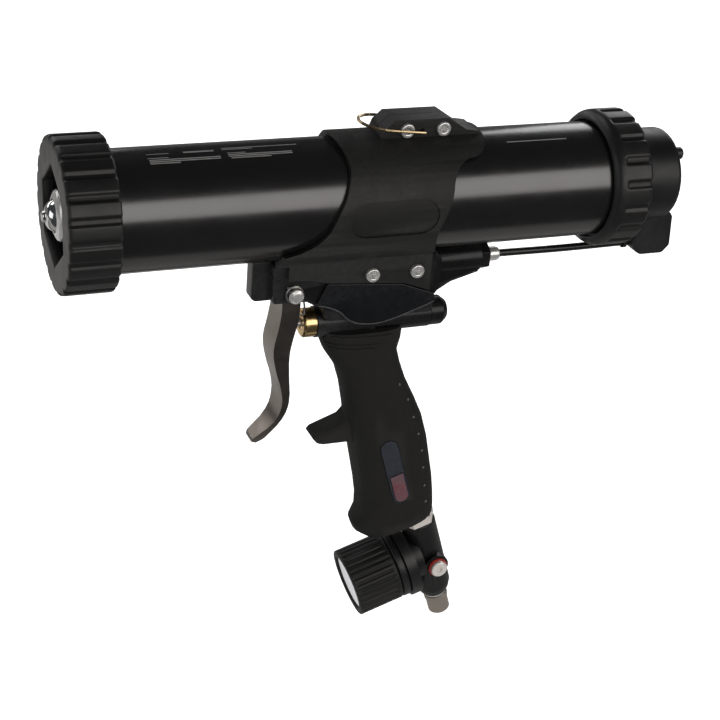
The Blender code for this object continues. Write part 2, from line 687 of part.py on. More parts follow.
def build_receiver(screw_holes):
    body = prism("receiver", receiver_outline(), side_plane(), 2 * RECEIVER_HALF, "receiver_black")
    bevel(body, 2.0, 2)
    end = ARM_END - 1.0
    arm = [(190.0, HOSE_Z + 4.0), (end, HOSE_Z + 4.0), (end, HOSE_Z - 6.5), (208.0, -50.5),
           (199.0, -56.0), (190.0, -56.0)]
    nose = prism("nose", nose_outline(), side_plane(), 2 * NOSE_HALF, None)
    bevel(nose, 1.2, 2)
    joined = [nose, prism("arm_web", arm, side_plane(), 13.0, None),
              rod("arm_boss", (185, 0, HOSE_Z), (ARM_END, 0, HOSE_Z), ARM_R, None, 28),
              rod("valve_housing", (HOUSING_FRONT, 0, VALVE_Z), (HOUSING_BACK, 0, VALVE_Z), HOUSING_R,
                  None, 32),
              rod("grip_boss", on_duct(BOSS_TOP - 6), on_duct(BOSS_FOOT), BOSS_R, None, 28)]
    for tool in joined:
        boolean(body, tool, "UNION")
    slot = TRIGGER_HALF + FIT
    seat_end = SEAT_X + SEAT_LENGTH
    outlet = (SEAT_X - 3.5, 0, -57.0)
    cuts = [box("trigger_slot", (SLOT_FRONT, -slot, -80), (SLOT_BACK, slot, SLOT_TOP), None),
            rod("pin_hole", (PIVOT_X, -20, PIVOT_Z), (PIVOT_X, 20, PIVOT_Z), PIN_R + FIT, None, 20),
            rod("valve_bore_front", (HOUSING_FRONT - 1, 0, VALVE_Z), (SEAT_X, 0, VALVE_Z), VALVE_BORE,
                None, 24),
            rod("valve_bore_seat", (SEAT_X - 1, 0, VALVE_Z), (seat_end + 1, 0, VALVE_Z), SEAT_R,
                None, 20),
            rod("valve_bore_back", (seat_end, 0, VALVE_Z), (HOUSING_BACK + 1, 0, VALVE_Z), VALVE_BORE,
                None, 24),
            rod("outlet_rise", (outlet[0], 0, VALVE_Z + 4), outlet, 1.8, None, 12),
            rod("outlet_gallery", outlet, (ARM_END - 10, 0, HOSE_Z), 1.8, None, 12),
            rod("fitting_bore", (ARM_END - 11, 0, HOSE_Z), (ARM_END + 1, 0, HOSE_Z), 3.0 + FIT, None, 20),
            rod("duct_socket", on_duct(DUCT_TOP - FIT), on_duct(BOSS_FOOT + 1), DUCT_R + FIT, None, 24),
            rod("duct_inlet", on_duct(DUCT_TOP - 16), on_duct(DUCT_TOP), 3.0, None, 16)]
    for tool in cuts + screw_holes[2:]:
        boolean(body, tool)


def build_side_covers():
    """Glossy covers on both sides between the saddle's flanks and the valve housing."""
    outline = [(136.0, -41.9), (177.5, -45.6), (195.5, -52.6), (196.5, -57.0), (181.0, -62.5, True),
               (165.2, -66.8, True), (152.0, -65.2, True), (143.0, -58.0, True), (130.5, -53.2)]
    thick = 2.0
    for side, name in ((-1, "left"), (1, "right")):
        middle = side * (RECEIVER_HALF + FIT + thick / 2)
        prism("side_cover_" + name, outline, side_plane(middle), thick, "receiver_black")


def build_trigger():
    outline = [(113.0, -43.0), (113.0, -48.0), (114.0, -56.0, True), (112.6, -68.0, True),
               (110.7, -79.5, True), (112.5, -91.0, True), (116.2, -103.6, True),
               (117.0, -113.0, True), (114.0, -122.0, True), (103.2, -132.6), (102.6, -134.6),
               (105.6, -136.2), (109.8, -132.9), (118.2, -121.0, True), (121.0, -110.5, True),
               (120.3, -97.0, True), (119.7, -83.0, True), (121.5, -72.0, True),
               (123.3, -64.2, True), (123.8, -55.0, True), (123.6, -44.0), (118.3, -40.6)]
    body = prism("trigger", outline, side_plane(), 2 * TRIGGER_HALF, "nickel", 3)
    front = [(-TRIGGER_HALF, -35), (TRIGGER_HALF, -35), (TRIGGER_HALF, -112, True),
             (TRIGGER_TIP_HALF + 1.5, -128, True), (TRIGGER_TIP_HALF, -134), (3.0, -137.2),
             (-3.0, -137.2), (-TRIGGER_TIP_HALF, -134), (-TRIGGER_TIP_HALF - 1.5, -128, True),
             (-TRIGGER_HALF, -112, True)]
    shape = prism("trigger_front_view", front, cross_plane(PIVOT_X), 60.0, None, 3)
    boolean(body, shape, "INTERSECT")
    boolean(body, rod("trigger_bore", (PIVOT_X, -20, PIVOT_Z), (PIVOT_X, 20, PIVOT_Z), PIN_R + FIT,
                      None, 20))
    pivot("trigger_pivot", (PIVOT_X, 0, PIVOT_Z), [body])

    head = RECEIVER_HALF + 4.0
    place = frame_at((PIVOT_X, -head, PIVOT_Z), (1, 0, 0), (0, 0, 1))
    reach = -(head + RECEIVER_HALF + 2.6)
    pin = [(0, 2.2), (2.4, 2.2), (PIN_HEAD_R, 1.2), (PIN_HEAD_R, 0), (PIN_R, 0), (PIN_R, reach),
           (0, reach)]
    turned("trigger_pin", pin, place, "steel", 20)
    clip_y = RECEIVER_HALF + FIT
    clip = [(4.2, 0), (4.2, -1.0), (PIN_R + FIT, -1.0), (PIN_R + FIT, 0)]
    turned("pin_clip", clip, frame_at((PIVOT_X, clip_y, PIVOT_Z), (1, 0, 0), (0, 0, 1)), "steel", 20)

    y_out = -(RECEIVER_HALF + 3.0)
    y_in = -(RECEIVER_HALF + 1.2)
    coil_axis = frame_at((PIVOT_X, 0, PIVOT_Z), (1, 0, 0), (0, 0, 1))
    coil = coil_points(coil_axis, TRIGGER_COIL_R, -y_in, -y_out, 1.25, 16)
    leg_x = 124.8
    path = [(leg_x, -6.0, -61.5), (leg_x, -8.6, -61.0), (leg_x, y_in + 0.8, -58.0),
            (leg_x - 0.6, y_in, -53.0)]
    path += [tuple(p) for p in coil] + [(PIVOT_X - 4.6, y_out, PIVOT_Z + TRIGGER_COIL_R + 0.2)]
    wire("trigger_spring", path, SPRING_WIRE_R, "steel")


def build_valve():
    axis = frame_at((0, 0, VALVE_Z), (0, 0, -1), (0, 1, 0))
    spigot = VALVE_BORE - FIT
    bore = STEM_R + FIT
    shoulder = HOUSING_FRONT - FIT
    bush = [(spigot, SEAT_X - 8.0), (spigot, shoulder), (BUSH_FLANGE_R, shoulder),
            (BUSH_FLANGE_R, BUSH_FRONT + 1.0), (BUSH_FLANGE_R - 1.0, BUSH_FRONT), (bore + 1.2, BUSH_FRONT),
            (bore, BUSH_FRONT + 1.2), (bore, SEAT_X - 8.0)]
    turned("valve_bush", bush, axis, "brass", 28)
    face = SEAT_X + SEAT_LENGTH + 0.5
    seal = [(4.9, face + 2.2), (4.9, face), (bore, face), (bore, face + 2.2)]
    poppet = face + 2.5
    stem = [(0, poppet + 16), (STEM_R, poppet + 16), (STEM_R, poppet + 3), (4.7, poppet + 3),
            (4.7, poppet), (STEM_R, poppet), (STEM_R, STEM_FRONT + 0.5), (STEM_R - 0.5, STEM_FRONT),
            (0, STEM_FRONT)]
    pivot("stem_travel", (STEM_FRONT, 0, VALVE_Z),
          [turned("valve_stem", stem, axis, "steel", 20), turned("valve_seal", seal, axis,
                                                                "seal_rubber", 20)])
    plug_face = HOUSING_BACK + FIT
    spring = coil_points(axis, 3.9, poppet + 3.9, plug_face - 5.4, 6)
    wire("valve_spring", spring, 0.5, "steel")
    end = plug_face + PLUG_LENGTH
    plug = [(0, end), (PLUG_R - 2.6, end), (PLUG_R, end - 3.2), (PLUG_R, plug_face),
            (spigot, plug_face), (spigot, plug_face - 4.6), (2.7, plug_face - 4.6),
            (2.7, plug_face + 5.0), (0, plug_face + 5.0)]
    turned("valve_plug", plug, axis, "receiver_black", 28)


# ---------------------------------------------------------------- grip
def grip_rings():
    """Front and rear point of each section in side view, and its half width."""
    return [((137.6, -73.4), (184.2, -73.2), 12.3), ((139.0, -80.0), (183.8, -80.0), 12.6),
            ((141.8, -86.5), (182.0, -87.2), 12.8), ((149.0, -97.0), (184.3, -95.4), 13.2),
            ((152.7, -108.0), (188.4, -106.0), 14.0), ((155.5, -121.0), (194.5, -117.5), 14.6),
            ((157.5, -133.0), (200.5, -130.0), 15.0), ((160.3, -145.0), (205.0, -144.0), 15.2),
            ((163.2, -157.5), (208.2, -158.0), 15.2), ((166.0, -170.0), (211.0, -170.5), 15.0),
            ((168.0, -181.0), (212.6, -180.5), 14.8), ((168.2, -190.0), (213.4, -187.0), 14.5),
            ((165.4, -196.8), (213.8, -190.8), 14.2), ((167.2, -201.6), (213.9, -193.4), 13.8),
            ((173.6, -206.0), (213.2, -194.6), 12.8)]


def build_grip():
    sides = 28
    power = 2.0 / 2.7
    bm = bmesh.new()
    loops = []
    for front, rear, half in grip_rings():
        mid = (Vector(front) + Vector(rear)) / 2
        reach = (Vector(front) - Vector(rear)) / 2
        loop = []
        for i in range(sides):
            a = 2 * pi * i / sides
            c, s = cos(a), sin(a)
            along_k = abs(c) ** power * (1 if c > 0 else -1)
            across = abs(s) ** power * (1 if s > 0 else -1)
            spot = mid + reach * along_k
            loop.append(bm.verts.new(Vector((spot.x, half * across, spot.y)) * MM))
        loops.append(loop)
    for upper, lower in zip(loops, loops[1:]):
        for i in range(sides):
            j = (i + 1) % sides
            bm.faces.new((upper[i], upper[j], lower[j], lower[i]))
    bm.faces.new(loops[0])
    bm.faces.new(loops[-1])
    bmesh.ops.recalc_face_normals(bm, faces=bm.faces)
    sleeve = from_bmesh("grip_sleeve", bm, Matrix.Identity(4), "grip_black")
    hook = prism("finger_hook", [(166.0, -122.0), (157.6, -124.8), (154.2, -129.0), (143.2, -133.2, True),
                                 (138.6, -135.0), (136.9, -137.0), (139.6, -140.0), (143.4, -141.2),
                                 (158.0, -141.4), (166.0, -142.8)],
                 side_plane(), 13.0, None)
    boolean(sleeve, bevel(hook, 1.8, 2), "UNION")
    tools = [rod("housing_cradle", (120, 0, VALVE_Z), (220, 0, VALVE_Z), HOUSING_R + FIT, None, 32),
             rod("boss_socket", on_duct(BOSS_TOP - 20), on_duct(BOSS_FOOT + FIT), BOSS_R + FIT, None, 28),
             rod("duct_bore", on_duct(BOSS_FOOT - 2), on_duct(20), DUCT_R + FIT, None, 28)]
    for tool in tools:
        boolean(sleeve, tool)

    face_y = -15.2
    badge_at = on_duct(-51.0, 9.2, face_y)
    plane = frame_at(badge_at, FORWARD, -DOWN)
    half = BADGE_WIDTH / 2
    run = BADGE_LENGTH / 2 - half
    outline = arc(0, run, half, 0, 180, 8) + arc(0, -run, half, 180, 360, 8)
    pocket_outline = [(x * (1 + 2 * FIT / BADGE_WIDTH), y * (1 + 2 * FIT / BADGE_LENGTH))
                      for x, y in outline]
    boolean(sleeve, prism("badge_pocket", pocket_outline, plane, 2 * BADGE_THICK, None))
    prism("badge_plate", outline, plane @ Matrix.Translation((0, 0, 0.1 * MM)), BADGE_THICK, "badge_silver")
    inlay_plane = plane @ Matrix.Translation((0, 0, -(BADGE_THICK / 2 + 0.4) * MM))
    inner = half - 1.2
    inlay = [(inner, -2.0)] + [(-inner, -2.0)] + arc(0, -run, inner, 180, 360, 8)
    prism("badge_inlay", inlay, inlay_plane, 0.4, "badge_tint")

    tube_in = DUCT_R - DUCT_WALL
    tube = [(DUCT_R, DUCT_END), (DUCT_R, DUCT_TOP), (tube_in, DUCT_TOP), (tube_in, DUCT_END)]
    turned("grip_tube", tube, DUCT_AXIS, "steel", 28)
    nut_mid = on_duct(NUT_TOP + NUT_TALL / 2)
    nut = prism("grip_nut", polygon(NUT_R, 6), frame_at(nut_mid, FORWARD, (0, 1, 0)), NUT_TALL, "nickel")
    boolean(nut, rod("nut_bore", on_duct(NUT_TOP - 5), on_duct(NUT_TOP + NUT_TALL + 5), DUCT_R + FIT,
                     None, 24))


# ---------------------------------------------------------------- regulator
def build_regulator():
    body = [(0, REG_TOP), (REG_R - 1.0, REG_TOP), (REG_R, REG_TOP + 1.5), (REG_R, REG_END - 7.0),
            (REG_R - 1.5, REG_END - 2.5), (REG_R - 3.2, REG_END), (0, REG_END)]
    shell = turned("regulator_body", body, DUCT_AXIS, "regulator_black", 32)
    port = on_duct(PORT_U, PORT_K)
    across = Vector((0, PORT_BOSS_HALF, 0))
    joined = [rod("bonnet", on_duct(KNOB_AXIS_U, BONNET_START), on_duct(KNOB_AXIS_U, BONNET_END - 1),
                  BONNET_R, None, 32),
              rod("bonnet_flange", on_duct(KNOB_AXIS_U, FLANGE_START), on_duct(KNOB_AXIS_U, BONNET_END),
                  FLANGE_R, None, 36),
              rod("port_boss", port - across, port + across, PORT_BOSS_R, None, 24)]
    for tool in joined:
        boolean(shell, tool, "UNION")
    deep = Vector((0, 5.5, 0))
    far = Vector((0, 20, 0))
    cuts = [rod("bonnet_bore", on_duct(KNOB_AXIS_U, BONNET_FLOOR), on_duct(KNOB_AXIS_U, 20), BONNET_BORE,
                None, 32),
            rod("sense_hole", on_duct(KNOB_AXIS_U, 0), on_duct(KNOB_AXIS_U, BONNET_FLOOR + 1), 1.5, None,
                12),
            rod("tube_socket", on_duct(REG_TOP - 2), on_duct(DUCT_END + FIT), DUCT_R + FIT, None, 28),
            rod("centre_bore", on_duct(DUCT_END - 1), on_duct(REG_END - 12), 2.6, None, 16),
            rod("inlet_bore", on_duct(REG_END - 13), on_duct(REG_END + 2), 5.0 + FIT, None, 24),
            rod("port_left", port - far, port - deep, 2.8 + FIT, None, 16),
            rod("port_right", port + deep, port + far, 2.8 + FIT, None, 16)]
    for tool in cuts:
        boolean(shell, tool)


def build_regulator_inside():
    axis = KNOB_AXIS
    low = BONNET_FLOOR + FIT
    piston = [(0, low + 2.2), (BONNET_BORE - 0.5, low + 2.2), (BONNET_BORE - 0.5, low), (0, low)]
    turned("regulator_piston", piston, axis, "brass", 28)
    wire("regulator_spring", coil_points(axis, 7.8, low + 3.2, 13.1, 1.5, 12), 0.7, "steel")
    hole = SPINDLE_R + FIT
    plate = [(BONNET_BORE - 0.8, 16.6), (BONNET_BORE - 0.8, 14.2), (hole, 14.2), (hole, 16.6)]
    plate_obj = turned("spring_plate", plate, axis, "steel", 28)
    collar_start = BONNET_END + FIT
    collar = [(COLLAR_R - 2.6, KNOB_BACK - RUN), (COLLAR_R, KNOB_BACK - RUN - 2.6), (COLLAR_R, collar_start),
              (hole, collar_start), (hole, KNOB_BACK - RUN)]
    turned("bonnet_ring", collar, axis, "regulator_black", 32)
    face = KNOB_FRONT - 2.3
    bore_end = face - 2.0
    knob = [(0, face), (DISC_R + FIT, face), (DISC_R + FIT, KNOB_FRONT - 0.2),
            (KNOB_R - 0.8, KNOB_FRONT - 0.2), (KNOB_R, KNOB_FRONT - 1.0), (KNOB_R, KNOB_BACK + 0.8),
            (KNOB_R - 0.8, KNOB_BACK), (14.4, KNOB_BACK), (14.4, face - 4.5), (6.4, face - 4.5),
            (6.4, KNOB_BACK + 1.5), (hole, KNOB_BACK + 1.5), (hole, bore_end), (0, bore_end)]
    knob_obj = turned("regulator_knob", knob, axis, "grip_black", 40)
    boolean(knob_obj, groove_cutter("knob_grooves", KNOB_RIBS, KNOB_R, 0.7, 1.8, KNOB_BACK - 1,
                                    KNOB_FRONT - 2.0, axis))
    disc = [(0, face + FIT + 0.9), (DISC_R, face + FIT + 0.9), (DISC_R, face + FIT), (0, face + FIT)]
    disc_obj = turned("knob_disc", disc, axis, "disc_grey", 32)
    spindle = [(0, bore_end - FIT), (SPINDLE_R, bore_end - FIT), (SPINDLE_R, 11.5), (0, 11.5)]
    spindle_obj = turned("regulator_spindle", spindle, axis, "steel", 20)
    pivot("knob_pivot", on_duct(KNOB_AXIS_U, KNOB_BACK), [knob_obj, disc_obj, spindle_obj])
    pivot("plate_travel", on_duct(KNOB_AXIS_U, 14.0), [plate_obj])


def build_ports():
    port = on_duct(PORT_U, PORT_K)
    face = PORT_BOSS_HALF + FIT
    left = frame_at((port.x, -face, port.z), (1, 0, 0), (0, 0, 1))
    right = frame_at((port.x, face, port.z), (1, 0, 0), (0, 0, -1))
    washer = [(5.6, 1.2), (5.6, 0), (3.1, 0), (3.1, 1.2)]
    turned("port_washer", washer, left, "seal_red", 24)
    head = 1.2 + FIT
    screw = [(0, head + 1.0), (1.7, head + 1.0), (1.7, head + 2.2), (4.3, head + 2.2), (4.9, head + 1.6),
             (4.9, head), (2.8, head), (2.8, -7.0), (0, -7.0)]
    turned("port_screw", screw, left, "nickel", 24)
    plug = [(0, 0.9), (1.7, 0.9), (1.7, 2.0), (4.3, 2.0), (4.9, 1.4), (4.9, 0), (2.8, 0), (2.8, -7.0),
            (0, -7.0)]
    turned("port_plug", plug, right, "nickel", 24)

    start = REG_END + FIT
    seal = [(6.6, start + 1.2), (6.6, start), (5.3, start), (5.3, start + 1.2)]
    turned("inlet_seal", seal, DUCT_AXIS, "seal_rubber", 24)
    flange = start + 1.2 + FIT
    nipple = [(INLET_R - 0.8, INLET_END), (INLET_R, INLET_END - 0.8), (INLET_R, flange + 3.2),
              (INLET_FLANGE_R, flange + 3.2), (INLET_FLANGE_R, flange), (5.0, flange),
              (5.0, REG_END - 10.0), (3.2, REG_END - 10.0), (3.2, INLET_END)]
    turned("inlet_nipple", nipple, DUCT_AXIS, "nickel", 24)


# ---------------------------------------------------------------- hose line
def build_hose_line():
    axis = frame_at((0, 0, HOSE_Z), (0, 0, -1), (0, 1, 0))
    hex_front = ARM_END + FIT
    hex_back = hex_front + FITTING_HEX_LONG
    fitting = [(FITTING_HEX_R, hex_back), (FITTING_HEX_R, hex_front), (3.0, hex_front),
               (3.0, ARM_END - 9.5), (AIR_BORE, ARM_END - 9.5), (AIR_BORE, hex_back)]
    turned("hose_fitting", fitting, axis, "nickel", 6)
    collet = HOSE_R + FIT
    ring = [(COLLET_R - 0.6, hex_back + 7.4), (COLLET_R, hex_back + 6.0), (COLLET_R, hex_back + FIT),
            (collet, hex_back + FIT), (collet, hex_back + 7.4)]
    turned("fitting_collet", ring, axis, "nickel", 20)
    rim = HOSE_R + 1.1
    rear = [(rim, PORT_BLOCK_FRONT - FIT), (rim, PORT_BLOCK_FRONT - 2.4),
            (collet, PORT_BLOCK_FRONT - 2.4), (collet, PORT_BLOCK_FRONT - FIT)]
    turned("rear_collet", rear, axis, "regulator_black", 20)
    start = hex_back + 2 * FIT
    end = PORT_BLOCK_FRONT + 4.5
    steps = 10
    points = [(start + (end - start) * i / steps, 0, HOSE_Z) for i in range(steps + 1)]
    wire("air_hose", points, HOSE_R, "hose_black")


def stand_on_origin():
    """Move the whole gun so that its bounding box stands on the origin."""
    bpy.context.view_layer.update()
    graph = bpy.context.evaluated_depsgraph_get()
    low = Vector((1e9, 1e9, 1e9))
    high = -low
    for obj in PARTS.objects:
        if obj.type != "MESH":
            continue
        solid = obj.evaluated_get(graph)
        for vert in solid.data.vertices:
            spot = solid.matrix_world @ vert.co
            low = Vector(map(min, low, spot))
            high = Vector(map(max, high, spot))
    shift = Vector((-(low.x + high.x) / 2, -(low.y + high.y) / 2, -low.z))
    root = bpy.data.objects.new("gun_root", None)
    PARTS.objects.link(root)
    for obj in list(PARTS.objects) + list(CUTTERS.objects):
        if obj.parent is None and obj is not root:
            obj.parent = root
    root.location = shift
    bpy.context.view_layer.update()


clear_scene()
DOWN = Vector((sin(GRIP_TILT), 0, -cos(GRIP_TILT)))
FORWARD = Vector((-cos(GRIP_TILT), 0, -sin(GRIP_TILT)))
BARREL_AXIS = frame_at((0, 0, 0), (0, 0, -1), (0, 1, 0))
DUCT_AXIS = frame_at(DUCT_FOOT, FORWARD, (0, 1, 0))
KNOB_AXIS = frame_at(on_duct(KNOB_AXIS_U), DOWN, (0, -1, 0))
PARTS = make_collection("caulking_gun")
CUTTERS = make_collection("cutters")

build_barrel()
build_front_cap()
build_piston()
build_rear()
shared_holes = build_saddle()
build_fasteners()
build_loop()
build_receiver(shared_holes)
build_side_covers()
build_trigger()
build_valve()
build_grip()
build_regulator()
build_regulator_inside()
build_ports()
build_hose_line()
stand_on_origin()
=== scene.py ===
import json
import math

import bmesh
import bpy
from mathutils import Matrix, Vector
from mathutils.bvhtree import BVHTree

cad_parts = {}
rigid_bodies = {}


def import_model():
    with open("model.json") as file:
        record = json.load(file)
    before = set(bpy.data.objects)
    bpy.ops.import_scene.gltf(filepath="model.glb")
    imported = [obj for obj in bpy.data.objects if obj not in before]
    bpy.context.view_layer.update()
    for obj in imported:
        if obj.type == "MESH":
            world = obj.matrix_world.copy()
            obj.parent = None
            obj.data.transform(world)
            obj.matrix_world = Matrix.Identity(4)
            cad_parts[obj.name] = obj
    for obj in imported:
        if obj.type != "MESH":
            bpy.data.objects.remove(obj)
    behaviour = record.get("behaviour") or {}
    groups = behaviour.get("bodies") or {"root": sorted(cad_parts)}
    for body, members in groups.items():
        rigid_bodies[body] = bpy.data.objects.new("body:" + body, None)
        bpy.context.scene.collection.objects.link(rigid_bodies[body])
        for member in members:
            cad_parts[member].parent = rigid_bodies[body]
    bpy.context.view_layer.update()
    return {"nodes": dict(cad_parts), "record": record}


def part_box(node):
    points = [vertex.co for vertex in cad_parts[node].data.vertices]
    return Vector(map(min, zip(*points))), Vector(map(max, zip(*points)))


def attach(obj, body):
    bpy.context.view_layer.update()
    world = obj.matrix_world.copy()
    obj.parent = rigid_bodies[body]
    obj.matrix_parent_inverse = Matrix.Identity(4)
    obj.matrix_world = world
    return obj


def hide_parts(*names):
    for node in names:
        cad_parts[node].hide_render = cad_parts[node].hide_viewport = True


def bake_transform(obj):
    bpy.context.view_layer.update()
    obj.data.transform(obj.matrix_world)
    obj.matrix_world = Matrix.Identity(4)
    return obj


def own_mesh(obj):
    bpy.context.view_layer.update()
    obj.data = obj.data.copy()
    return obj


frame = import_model()
nodes = frame["nodes"]
bodyOf = {node: body for body, members in frame["record"]["behaviour"]["bodies"].items() for node in members}
slotOf = {part["node"]: part["material_slot"] for part in frame["record"]["subparts"]}
millimetre = 0.001
tubeLow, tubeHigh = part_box("barrel_tube")
axisHeight = (tubeLow.z + tubeHigh.z) / 2  # the barrel lies along X at this height
print("frame loaded:", len(nodes), "nodes")

# the view: position, and which way is right, up and back

camera = {
    "place": (-0.306988, -0.692000, 0.564655),
    "right": (0.928331, -0.363632, 0.077293),
    "up": (0.103673, 0.452896, 0.885515),
    "back": (-0.357007, -0.814037, 0.458136),
    "lens": 79.9,
}


def buildCamera():
    data = bpy.data.cameras.new("studioCamera")
    data.lens, data.sensor_width = camera["lens"], 36
    eye = bpy.data.objects.new("studioCamera", data)
    bpy.context.scene.collection.objects.link(eye)
    turn = Matrix((camera["right"], camera["up"], camera["back"])).transposed().to_4x4()
    eye.matrix_world = Matrix.Translation(camera["place"]) @ turn
    bpy.context.scene.camera = eye


# soft panels, a pale floor with a pale wall round it, and cards that only show in reflections

studio = {
    "ambient": 0.05,
    "floor": {"reach": 6, "colour": (0.86, 0.86, 0.855), "glow": 0.95, "roughness": 0.9, "specular": 0.1},
    "panels": {  # place, aims at, width, height, power, colour
        "keyPanel": ((0.40, -1.2, 0.70), (0.02, 0.0, 0.27), 2.4, 0.8, 15, (1.0, 0.965, 0.93)),
        "frontPanel": ((-1.3, -0.25, 0.5), (-0.1, 0.0, 0.22), 0.9, 0.7, 2.5, (0.97, 0.98, 1.0)),
        "topPanel": ((-0.5, 1.1, 1.5), (0.0, 0.1, 0.1), 1.0, 0.6, 4, (1.0, 1.0, 1.0)),
        "backPanel": ((-0.5, 1.35, 0.55), (0.0, 0.0, 0.22), 1.5, 0.5, 7, (1.0, 0.99, 0.98)),
        "rearPanel": ((0.9, 0.9, 0.8), (0.1, 0.0, 0.2), 0.6, 0.6, 3, (1.0, 1.0, 1.0)),
    },
    "backdrop": {"radius": 5.8, "height": 6.0, "sides": 48, "glow": 1.0},
    "cards": {  # corners, glow
        "underCard": ([(-1.2, -0.10, 0.001), (2.0, -0.10, 0.001), (2.0, 0.12, 0.001), (-1.2, 0.12, 0.001)], 0.3),
        "farCard": ([(-1.3, 0.2, 0.001), (0.5, 0.2, 0.001), (0.5, 1.2, 0.001), (-1.3, 1.2, 0.001)], 0.55),
        "backCard": ([(-1.6, 0.9, 0.001), (1.6, 0.9, 0.001), (1.6, 0.9, 0.5), (-1.6, 0.9, 0.5)], 0.16),
    },
}


def plainSheet(name, corners, faces=((0, 1, 2, 3),)):
    mesh = bpy.data.meshes.new(name)
    mesh.from_pydata(corners, [], faces)
    sheet = bpy.data.objects.new(name, mesh)
    bpy.context.scene.collection.objects.link(sheet)
    return sheet


def glowingSheet(name, corners, faces, glow, colour=(1.0, 0.97, 0.94)):
    card = bpy.data.materials.new(name)
    card.use_nodes = True
    face = card.node_tree.nodes["Principled BSDF"]
    face.inputs["Base Color"].default_value = (0.01, 0.01, 0.01, 1)
    face.inputs["Roughness"].default_value = 1.0
    face.inputs["Emission Color"].default_value = (*colour, 1)
    face.inputs["Emission Strength"].default_value = glow
    sheet = plainSheet(name, corners, faces)
    sheet.data.materials.append(card)
    return sheet


def buildStudio():
    world = bpy.data.worlds.new("studio")
    bpy.context.scene.world = world
    world.use_nodes = True
    sky = world.node_tree.nodes["Background"]
    sky.inputs["Color"].default_value = (0.9, 0.95, 1.0, 1)
    sky.inputs["Strength"].default_value = studio["ambient"]
    for name, (place, target, width, height, power, colour) in studio["panels"].items():
        data = bpy.data.lights.new(name, "AREA")
        data.shape, data.size, data.size_y = "RECTANGLE", width, height
        data.energy, data.color = power, colour
        lamp = bpy.data.objects.new(name, data)
        bpy.context.scene.collection.objects.link(lamp)
        lamp.location = place
        lamp.rotation_euler = (Vector(target) - Vector(place)).to_track_quat("-Z", "Y").to_euler()
    size = studio["floor"]
    reach = size["reach"]
    floor = plainSheet("floor", [(-reach, -reach, 0), (reach, -reach, 0), (reach, reach, 0), (-reach, reach, 0)])
    paint = bpy.data.materials.new("floorPaper")
    paint.use_nodes = True
    paper = paint.node_tree.nodes["Principled BSDF"]
    paper.inputs["Base Color"].default_value = (*size["colour"], 1)
    paper.inputs["Roughness"].default_value = size["roughness"]
    paper.inputs["Specular IOR Level"].default_value = size["specular"]
    paper.inputs["Emission Color"].default_value = (1, 1, 1, 1)
    paper.inputs["Emission Strength"].default_value = size["glow"]
    floor.data.materials.append(paint)
    floor.visible_glossy = False
    size = studio["backdrop"]
    corners, sides = [], size["sides"]
    last = 2 * sides
    for step in range(sides):
        angle = 2 * math.pi * step / sides
        for level in (0, size["height"]):
            corners.append((size["radius"] * math.cos(angle), size["radius"] * math.sin(angle), level))
    walls = [(step, step + 1, (step + 3) % last, (step + 2) % last) for step in range(0, last, 2)]
    wall = glowingSheet("backdrop", corners, walls, size["glow"], (1.0, 1.0, 1.0))
    wall.visible_glossy = wall.visible_diffuse = wall.visible_shadow = wall.visible_transmission = False
    for name, (corners, glow) in studio["cards"].items():
        sheet = glowingSheet(name, corners, [(0, 1, 2, 3)], glow)
        sheet.visible_camera = sheet.visible_diffuse = sheet.visible_shadow = sheet.visible_transmission = False
    bpy.context.scene.view_settings.view_transform = "Standard"
    print("studio ready")
